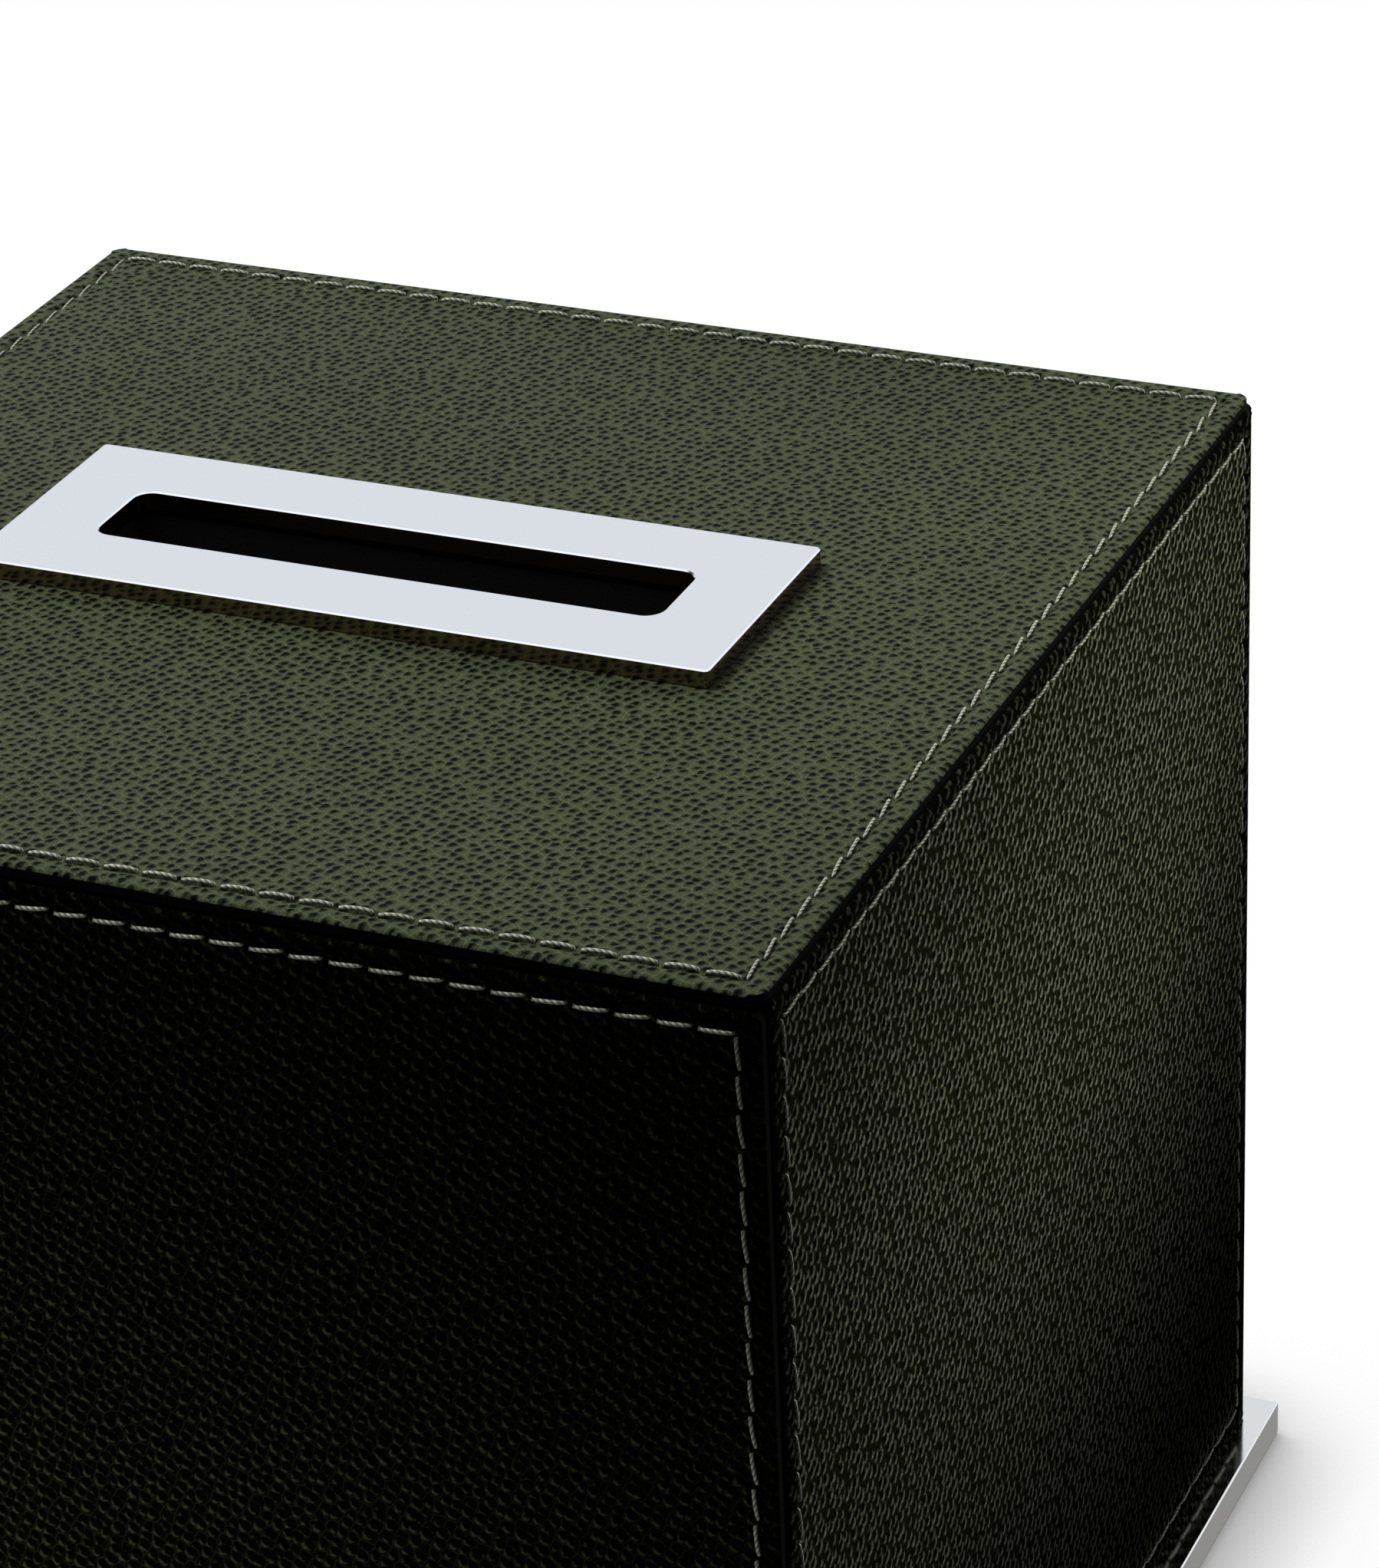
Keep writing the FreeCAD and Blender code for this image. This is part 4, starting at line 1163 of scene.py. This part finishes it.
    def declare(self, opening: Opening | None) -> None:
        """Work out the panel's area, less the opening cut out of it; the result is not used.

        Args:
            opening: the opening cut out of it, if any.
        """
        area = self.width * self.height - (math.prod(opening.size()) if opening else 0.0)

    def paint_edges(self, piece: bpy.types.Object, *materials: bpy.types.Material) -> None:
        """Give the field inside the stitching, the rim outside it and the cut edges their materials.

        Args:
            piece: the panel on the bench.
            materials: those of the field, the rim, and the edges and back.
        """
        piece.data.materials.clear()
        for material in materials:
            piece.data.materials.append(material)
        for face in piece.data.polygons:
            past = (abs(face.center.x) - self.width / 2, abs(face.center.y) - self.height / 2)
            outside = max(past) > -self.seam
            central = face.center.length < self.OPENING_REACH * self.width
            in_opening = central and abs(face.normal.z) < self.STEEP
            if face.normal.z <= self.PAINT_LIMIT or in_opening:
                face.material_index = 2
            else:
                face.material_index = 1 if outside else 0


@dataclass
class Stitch:
    """One saddle stitch of waxed thread, modelled once and copied along each seam."""

    MAP = "strand"
    pitch: float = 4.1 * MM
    length: float = 3.6 * MM
    radius: float = 0.225 * MM
    arch: float = 0.18 * MM
    sunk: float = 0.35 * MM
    slant: tuple[float, float] = (4.5, 7.0)
    end_width: float = 0.8
    flatness: float = 0.22
    lean_play: float = 2.0
    height_play: float = 0.03 * MM
    stretch_play: tuple[float, float] = (0.97, 1.02)
    SIDES = 7
    STATIONS = (0.0, 0.04, 0.11, 0.25, 0.5, 0.75, 0.89, 0.96, 1.0)

    def model(self) -> bpy.types.Object:
        """Model one stitch lying along X on the bench, its two ends drawn down into the leather.

        Returns:
            The stitch.
        """
        clear_selection()
        bpy.ops.mesh.primitive_circle_add(
            vertices=self.SIDES, radius=self.radius, fill_type="NGON",
            location=(-self.length / 2, 0.0, -self.sunk), rotation=(0.0, math.pi / 2, 0.0),
        )
        piece = fresh("stitch")
        bpy.ops.object.mode_set(mode="EDIT")
        bpy.ops.mesh.select_all(action="SELECT")
        bpy.ops.transform.resize(value=(1.0, self.end_width, self.end_width))
        width, x, z = self.end_width, -self.length / 2, -self.sunk
        for along in self.STATIONS[1:]:
            new_x = (along - 0.5) * self.length
            new_z = self.spine(new_x)
            new_width = self.end_width + (1.0 - self.end_width) * self.rise(along)
            step = {"value": (new_x - x, 0.0, new_z - z)}
            bpy.ops.mesh.extrude_region_move(TRANSFORM_OT_translate=step)
            grow = new_width / width
            bpy.ops.transform.resize(value=(1.0, grow, grow))
            width, x, z = new_width, new_x, new_z
        bpy.ops.mesh.select_all(action="SELECT")
        bpy.ops.mesh.normals_make_consistent(inside=False)
        bpy.ops.object.mode_set(mode="OBJECT")
        smooth(piece, degrees=60.0)
        self.map_strand(piece)
        return piece

    def map_strand(self, piece: bpy.types.Object) -> None:
        """Lay a map on the stitch: along its length in one direction, round it in the other.

        Args:
            piece: the stitch on the bench.
        """
        mesh = piece.data
        for layer in list(mesh.uv_layers):
            mesh.uv_layers.remove(layer)
        layer = mesh.uv_layers.new(name=self.MAP)
        for face in mesh.polygons:
            spine = self.spine(face.center.x)
            middle = math.atan2(face.center.y, face.center.z - spine) / math.tau
            for loop in face.loop_indices:
                spot = mesh.vertices[mesh.loops[loop].vertex_index].co
                round_it = math.atan2(spot.y, spot.z - self.spine(spot.x)) / math.tau
                round_it += round(middle - round_it)
                layer.data[loop].uv = (spot.x / self.length + 0.5, round_it)

    def rise(self, along: float) -> float:
        """Return how far the thread has come up out of the leather, from 0 to 1."""
        return abs(math.sin(math.pi * min(max(along, 0.0), 1.0))) ** self.flatness

    def spine(self, x: float) -> float:
        """Return the height of the stitch's middle line at x."""
        return self.rise(x / self.length + 0.5) * (self.sunk + self.arch) - self.sunk

    def tight(self) -> "Stitch":
        """Return the same stitch pulled deeper into the leather."""
        return replace(self, length=3.8 * MM, radius=0.7 * self.radius, arch=-0.01 * MM, sunk=0.34 * MM)

    def sew(self, panel: Panel, name: str, seed: int, tight_rows: Sequence[int]) -> bpy.types.Object:
        """Sew a row of stitches inside each of a panel's four edges.

        Args:
            panel: the panel that is sewn.
            name: the name of the stitching.
            seed: the seed of the small irregularities of hand work.
            tight_rows: the rows that are pulled tight, counted from the lower edge round to the left.

        Returns:
            The stitching, in place on the box.
        """
        hand = random.Random(seed)
        patterns = (self.model(), self.tight().model())
        half_x = panel.width / 2 - panel.seam
        half_y = panel.height / 2 - panel.seam
        corners = [(-half_x, -half_y), (half_x, -half_y), (half_x, half_y), (-half_x, half_y)]
        copies = []
        for row, (start, end) in enumerate(zip(corners, corners[1:] + corners[:1])):
            pattern = patterns[row in tight_rows]
            first, last = Vector((*start, 0.0)), Vector((*end, 0.0))
            run = last - first
            count = round(run.length / self.pitch)
            step = run / count
            heading = math.atan2(run.y, run.x)
            for number in range(count):
                copy = pattern.copy()
                copy.data = pattern.data.copy()
                bpy.context.scene.collection.objects.link(copy)
                lean = math.radians(self.slant[row % 2] + hand.uniform(-self.lean_play, self.lean_play))
                spot = first + step * (number + 0.5)
                spot.z = hand.uniform(-self.height_play, self.height_play)
                stretch = step.length / self.pitch * hand.uniform(*self.stretch_play)
                turn = Matrix.Rotation(heading + lean, 4, "Z")
                scale = Matrix.Diagonal((stretch, 1.0, 1.0, 1.0))
                copy.matrix_world = Matrix.Translation(spot) @ turn @ scale
                copies.append(copy)
        for pattern in patterns:
            bpy.data.objects.remove(pattern)
        pick(*copies)
        bpy.ops.object.join()
        seam = bpy.context.view_layer.objects.active
        seam.name = seam.data.name = name
        settle(seam, panel.place)
        return seam


def dress(piece: bpy.types.Object, material: bpy.types.Material) -> None:
    """Give a piece one material all over.

    Args:
        piece: the piece.
        material: what it wears.
    """
    piece.data.materials.clear()
    piece.data.materials.append(material)
    log.info("%s wears %s", piece.name, material.name)


def dress_nodes(names: Iterable[str], material: bpy.types.Material) -> None:
    """Give carried-over nodes their material.

    Args:
        names: the nodes.
        material: what they wear.
    """
    for name in names:
        dress(frame["nodes"][name], material)


# ---------------------------------------------------------------------------------------------
# Sub-assemblies
# ---------------------------------------------------------------------------------------------
@dataclass(frozen=True)
class Cover:
    """One sewn leather panel: its node, its facing, the board it is stretched over and its thread."""

    node: str
    facing: Facing
    board: str
    seam: float = 2.6 * MM
    tight_rows: tuple[int, ...] = (0, 1, 2, 3)
    corner: float = SIDE_CORNER
    opening: Opening | None = None

    def build(self, body: Body, wardrobe: Wardrobe) -> None:
        """Build the panel and its stitching in place of the leather node.

        Args:
            body: the body it rides on.
            wardrobe: the finishes.
        """
        low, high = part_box(self.node)
        panel = Panel(f"{self.node}_panel", self.facing, low, high, seam=self.seam, corner_round=self.corner)
        piece = panel.sewn()
        if self.opening is not None:
            panel.open_slot(piece, self.opening)
        panel.paint_edges(piece, wardrobe.leather[self.facing], wardrobe.rim[self.facing], wardrobe.edge)
        smooth(piece)
        settle(piece, panel.place)
        install(piece, body, Slot.LEATHER, self.node)
        panel.declare(self.opening)
        seed = sum(map(ord, self.node))
        stitching = Stitch().sew(panel, f"{self.node}_stitching", seed, self.tight_rows)
        dress(stitching, wardrobe.thread)
        install(stitching, body, Slot.LEATHER)


@dataclass(frozen=True)
class SoftPanel:
    """One lining, pad or felt: its node, its facing, the node it is glued to or laid on, and its holes."""

    node: str
    facing: Facing
    under: str
    holes: tuple[Holes, ...] = ()
    opening: Opening | None = None
    held: str = "stretched"
    edge_round: float = 0.3 * MM

    def build(self, body: Body, slot: Slot, wardrobe: Wardrobe) -> None:
        """Build the cloth piece in place of its node.

        Args:
            body: the body it rides on.
            slot: its material slot.
            wardrobe: the finishes.
        """
        low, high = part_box(self.node)
        panel = Panel(f"{self.node}_cloth", self.facing, low, high, edge_round=self.edge_round)
        piece = panel.soft()
        for holes in self.holes:
            panel.bore(piece, holes)
        if self.opening is not None:
            panel.open_slot(piece, self.opening)
        dress(piece, wardrobe.by_slot[slot])
        smooth(piece, degrees=50.0)
        settle(piece, panel.place)
        install(piece, body, slot, self.node)
        panel.declare(self.opening)


@dataclass
class Base:
    """The polished base plate, its screws and the felt under it."""

    metal: tuple[str, ...] = ("base_plate",)
    screws: tuple[str, ...] = ("base_screws",)
    felt: SoftPanel = SoftPanel("base_felt", Facing.UNDER, "base_plate")

    def build(self, wardrobe: Wardrobe) -> None:
        """Dress the plate and lay the felt.

        Args:
            wardrobe: the finishes.
        """
        dress_nodes(self.metal, wardrobe.base)
        dress_nodes(self.screws, wardrobe.by_slot[Slot.STEEL])
        self.felt.build(Body.CASE, Slot.FELT, wardrobe)


@dataclass
class CaseShell:
    """The five boards of the case and the sewn leather outside them."""

    boards: tuple[str, ...] = ("board_bottom", "board_left", "board_right", "board_back", "board_top")
    top: Cover = Cover("leather_top", Facing.TOP, "board_top", 2.8 * MM, (1, 3), TOP_CORNER, Opening())
    sides: tuple[Cover, ...] = (
        Cover("leather_right", Facing.RIGHT, "board_right"),
        Cover("leather_left", Facing.LEFT, "board_left"),
        Cover("leather_back", Facing.BACK, "board_back"),
    )

    def build(self, wardrobe: Wardrobe) -> None:
        """Dress the boards and sew the four leather panels.

        Args:
            wardrobe: the finishes.
        """
        dress_nodes(self.boards, wardrobe.by_slot[Slot.BOARD])
        for cover in (self.top, *self.sides):
            cover.build(Body.CASE, wardrobe)


@dataclass
class CaseLining:
    """The suede that lines the bay: floor, ceiling, two walls and the back."""

    stop_screws: Holes = Holes("stop_screws", 4.4 * MM, (0,), 1.2 * MM)
    runner_screws: Holes = Holes("runner_screws", 4.4 * MM, (1,), 1.2 * MM)
    magnets: Holes = Holes("catch_magnets", 8.0 * MM, (0,), 4.1 * MM)
    studs: Holes = Holes("plate_washers", 6.0 * MM, (0,), 1.35 * MM)
    opening: Opening = Opening()

    def panels(self) -> list[SoftPanel]:
        """List the lining's pieces with their holes.

        Returns:
            The pieces, in the order they are built.
        """
        return [
            SoftPanel("lining_floor", Facing.TOP, "board_bottom", (self.stop_screws,), held="laid"),
            SoftPanel("lining_top", Facing.UNDER, "board_top", (self.studs,), self.opening),
            SoftPanel("lining_left", Facing.RIGHT, "board_left", (self.runner_screws,)),
            SoftPanel("lining_right", Facing.LEFT, "board_right", (self.runner_screws,)),
            SoftPanel("lining_back", Facing.FRONT, "board_back", (self.magnets,)),
        ]

    def build(self, wardrobe: Wardrobe) -> None:
        """Build every lining piece."""
        for panel in self.panels():
            panel.build(Body.CASE, Slot.SUEDE, wardrobe)


@dataclass
class SlottedPlate:
    """The polished plate round the slot, held by washers and nuts on its two studs."""

    plate: tuple[str, ...] = ("top_plate",)
    fixings: tuple[str, ...] = ("plate_washers", "plate_nuts")

    def build(self, wardrobe: Wardrobe) -> None:
        """Dress the plate and its fixings."""
        dress_nodes(self.plate, wardrobe.plate)
        dress_nodes(self.fixings, wardrobe.by_slot[Slot.STEEL])


@dataclass
class DrawerGuides:
    """The runners, the stop block and the magnets that guide and hold the drawer."""

    wood: tuple[str, ...] = ("runner_left", "runner_right", "stop_block")
    screws: tuple[str, ...] = ("runner_screws", "stop_screws")
    magnets: tuple[str, ...] = ("catch_magnets",)

    def build(self, wardrobe: Wardrobe) -> None:
        """Dress the guides.

        Args:
            wardrobe: the finishes.
        """
        dress_nodes(self.wood, wardrobe.by_slot[Slot.RUNNER_WOOD])
        dress_nodes(self.screws, wardrobe.by_slot[Slot.STEEL])
        dress_nodes(self.magnets, wardrobe.by_slot[Slot.NICKEL])


@dataclass
class DrawerFront:
    """The drawer's front: board, sewn leather, suede behind, and the knob with its screw."""

    board: tuple[str, ...] = ("drawer_front_board",)
    knob: tuple[str, ...] = ("drawer_knob",)
    screw: tuple[str, ...] = ("knob_screw",)
    leather: Cover = Cover("drawer_front_leather", Facing.FRONT, "drawer_front_board", 2.3 * MM, ())
    lining: SoftPanel = SoftPanel(
        "drawer_front_lining", Facing.BACK, "drawer_front_board",
        (
            Holes("front_screws", 4.4 * MM, (0, 2), 1.2 * MM),
            Holes("knob_screw", 6.0 * MM, (), 1.6 * MM),
        ),
    )

    def build(self, wardrobe: Wardrobe) -> None:
        """Dress the hard pieces, sew the leather and hang the lining.

        Args:
            wardrobe: the finishes.
        """
        dress_nodes(self.board, wardrobe.by_slot[Slot.BOARD])
        dress_nodes(self.knob, wardrobe.by_slot[Slot.METAL])
        dress_nodes(self.screw, wardrobe.by_slot[Slot.STEEL])
        self.leather.build(Body.DRAWER, wardrobe)
        self.lining.build(Body.DRAWER, Slot.SUEDE, wardrobe)


@dataclass
class DrawerBox:
    """The wooden box behind the front, the pad it is lined with, its screws and strike discs."""

    wood: tuple[str, ...] = (
        "drawer_box_front", "drawer_side_left", "drawer_side_right", "drawer_back", "drawer_bottom",
    )
    screws: tuple[str, ...] = ("front_screws",)
    discs: tuple[str, ...] = ("strike_discs",)
    pad: SoftPanel = SoftPanel("tray_pad", Facing.TOP, "drawer_bottom", held="laid")

    def build(self, wardrobe: Wardrobe) -> None:
        """Dress the box and lay the pad.

        Args:
            wardrobe: the finishes.
        """
        dress_nodes(self.wood, wardrobe.by_slot[Slot.DRAWER_WOOD])
        dress_nodes(self.screws, wardrobe.by_slot[Slot.STEEL])
        dress_nodes(self.discs, wardrobe.by_slot[Slot.NICKEL])
        self.pad.build(Body.DRAWER, Slot.SUEDE, wardrobe)


# ---------------------------------------------------------------------------------------------
# Stage: camera, floor, world and lamps
# ---------------------------------------------------------------------------------------------
@dataclass(frozen=True)
class View:
    """The main camera."""

    place: Point = (0.24093, -0.46446, 0.38206)
    forward: Point = (-0.36346, 0.80903, -0.46191)
    roll: float = 2.48
    lens: float = 128.92
    sensor: float = 36.0

    def build(self) -> None:
        """Add the camera and make it the scene's own."""
        data = bpy.data.cameras.new("view")
        data.lens, data.sensor_width, data.sensor_fit = self.lens, self.sensor, "AUTO"
        data.clip_start, data.clip_end = 0.01, 50.0
        camera = bpy.data.objects.new("view", data)
        bpy.context.scene.collection.objects.link(camera)
        forward = Vector(self.forward).normalized()
        right = forward.cross(Vector((0, 0, 1))).normalized()
        down = forward.cross(right)
        angle = math.radians(self.roll)
        across = math.cos(angle) * right + math.sin(angle) * down
        below = -math.sin(angle) * right + math.cos(angle) * down
        axes = Matrix((across, -below, -forward)).transposed()
        camera.matrix_world = Matrix.Translation(self.place) @ axes.to_4x4()
        bpy.context.scene.camera = camera


@dataclass(frozen=True)
class Lamp:
    """A soft rectangular lamp aimed at the box."""

    name: str
    place: Point
    size: tuple[float, float]
    watts: float
    target: Point = (0.0, 0.0, 0.08)
    spread: float = 180.0
    colour: Colour = (1.0, 1.0, 1.0)
    mirrored: bool = True

    def build(self) -> None:
        """Hang the lamp."""
        data = bpy.data.lights.new(self.name, "AREA")
        data.shape, data.size, data.size_y = "RECTANGLE", *self.size
        data.energy, data.color, data.spread = self.watts, self.colour, math.radians(self.spread)
        lamp = bpy.data.objects.new(self.name, data)
        bpy.context.scene.collection.objects.link(lamp)
        lamp.location, lamp.visible_camera, lamp.visible_glossy = self.place, False, self.mirrored
        away = Vector(self.place) - Vector(self.target)
        lamp.rotation_mode = "QUATERNION"
        lamp.rotation_quaternion = away.to_track_quat("Z", "Y")


@dataclass(frozen=True)
class Studio:
    """A plain pale floor, a surround that is white to the camera, and soft light."""

    floor_size: float = 12.0
    floor_tone: float = 0.08
    floor_rough: float = 0.9
    floor_glow: float = 0.97
    floor_clear: tuple[float, float] = (0.11, 0.26)
    floor_bounce: float = 0.015
    floor_mirrored: float = 0.3
    # reach and strength of the painted shadow close round the box
    painted_shadow_reach: float = 18.0 * MM
    painted_shadow_depth: float = 1.6
    backdrop: Colour = (0.80, 0.83, 0.87)
    # each card: where a part of the direction starts and ends, and the brightness at both
    card_behind: tuple[float, float, float, float] = (0.1, 0.6, 0.08, 1.0)
    card_aside: tuple[float, float, float, float] = (0.1, 0.35, 1.0, 1.24)
    card_above: tuple[float, float, float, float] = (0.55, 0.75, 0.0, 1.35)
    card_overhead: tuple[float, float, float, float] = (0.88, 0.96, 1.0, 0.62)
    ambient: float = 0.02
    rear_side: Lamp = Lamp(
        "rear_side", (0.3, 0.27, 0.26), (0.06, 0.06), 0.013, (0.073, 0.038, 0.108), 19.0,
        colour=(1.0, 0.98, 0.94), mirrored=False,
    )
    lamps: tuple[Lamp, ...] = (
        Lamp("overhead", (-0.4, -0.02, 0.78), (0.1, 0.1), 2.9),
        Lamp("rear_key", (-0.55, 0.55, 0.6), (0.25, 0.25), 1.5),
        rear_side,
        replace(rear_side, name="near_side", watts=0.0086, target=(0.073, -0.034, 0.114)),
        Lamp("front_low", (-0.3, -0.6, 0.06), (0.1, 0.1), 0.044, (-0.04, -0.08, 0.02), 26.0),
    )
    WHITE = (1.0, 1.0, 1.0, 1.0)

    def floor(self) -> None:
        """Lay the floor: pale, white to the camera away from the box, with the box's shadow kept and a
        painted shadow close round the box.
        """
        clear_selection()
        bpy.ops.mesh.primitive_plane_add(size=self.floor_size)
        plane = fresh("floor")
        surface = Surface("studio_floor")
        distance = surface.add("VectorMath", {0: surface.spot}, operation="LENGTH").outputs["Value"]
        far = surface.span(distance, *self.floor_clear, 0.0, 1.0, soft=True)
        path = surface.add("LightPath").outputs
        tone = (self.floor_tone,) * 3
        surface.set(Base_Color=tone, Roughness=self.floor_rough, Specular_IOR_Level=0.0)
        # painted shadow: ambient occlusion darkens the floor's glow close round the box
        painted_contact_shadow = surface.add("AmbientOcclusion", {"Distance": self.painted_shadow_reach}, samples=16).outputs["AO"]
        level = surface.math("MULTIPLY", surface.math("POWER", painted_contact_shadow, self.painted_shadow_depth), self.floor_glow)
        glow = surface.light("Emission", self.WHITE, level)
        near_box = surface.add("AddShader", {0: surface.shader.outputs[0], 1: glow}).outputs[0]
        pictured = surface.either(far, near_box, surface.light("Emission", self.WHITE, 1.0))
        bounce = surface.add("BsdfDiffuse", {"Color": (*(self.floor_bounce,) * 3, 1.0)}).outputs[0]
        mirrored = surface.light("Emission", self.WHITE, self.floor_mirrored)
        unseen = surface.either(path["Is Glossy Ray"], bounce, mirrored)
        surface.show(surface.either(path["Is Camera Ray"], unseen, pictured), "Material Output")
        plane.data.materials.append(surface.material)

    def world(self) -> None:
        """Make the surround: white to the camera, a pale backdrop behind the box in reflections."""
        world = bpy.data.worlds.new("studio")
        bpy.context.scene.world = world
        world.use_nodes = True
        graph = Graph(world.node_tree)
        path = graph.add("LightPath").outputs
        heading = graph.add("SeparateXYZ", {0: graph.add("TexCoord").outputs["Generated"]}).outputs
        behind = graph.span(heading["Y"], *self.card_behind, soft=True)
        above = graph.span(heading["Z"], *self.card_above, soft=True)
        above = graph.math("MULTIPLY", above, graph.span(heading["Z"], *self.card_overhead, soft=True))
        aside = graph.span(heading["X"], *self.card_aside, soft=True)
        card = graph.math("MAXIMUM", graph.math("MULTIPLY", behind, aside), above)
        shine = graph.light("Background", (*self.backdrop, 1.0), card)
        dim = graph.light("Background", self.WHITE, self.ambient)
        unseen = graph.either(path["Is Glossy Ray"], dim, shine)
        white = graph.light("Background", self.WHITE, 1.0)
        graph.show(graph.either(path["Is Camera Ray"], unseen, white), "World Output")

    def build(self) -> None:
        """Lay the floor, set the surround, hang the lamps and set up the camera."""
        self.floor()
        self.world()
        for lamp in self.lamps:
            lamp.build()
        View().build()


def main() -> None:
    """Build the sub-assemblies in order, then the stage."""
    logging.basicConfig(level=logging.INFO, format="%(name)s: %(message)s")
    wardrobe = Wardrobe()
    case = (Base(), CaseShell(), CaseLining(), SlottedPlate(), DrawerGuides())
    drawer = (DrawerFront(), DrawerBox())
    for assembly in (*case, *drawer):
        log.info("building %s", type(assembly).__name__)
        assembly.build(wardrobe)
    Studio().build()
    bpy.context.scene.view_settings.view_transform = "Standard"


if __name__ == "__main__":
    main()
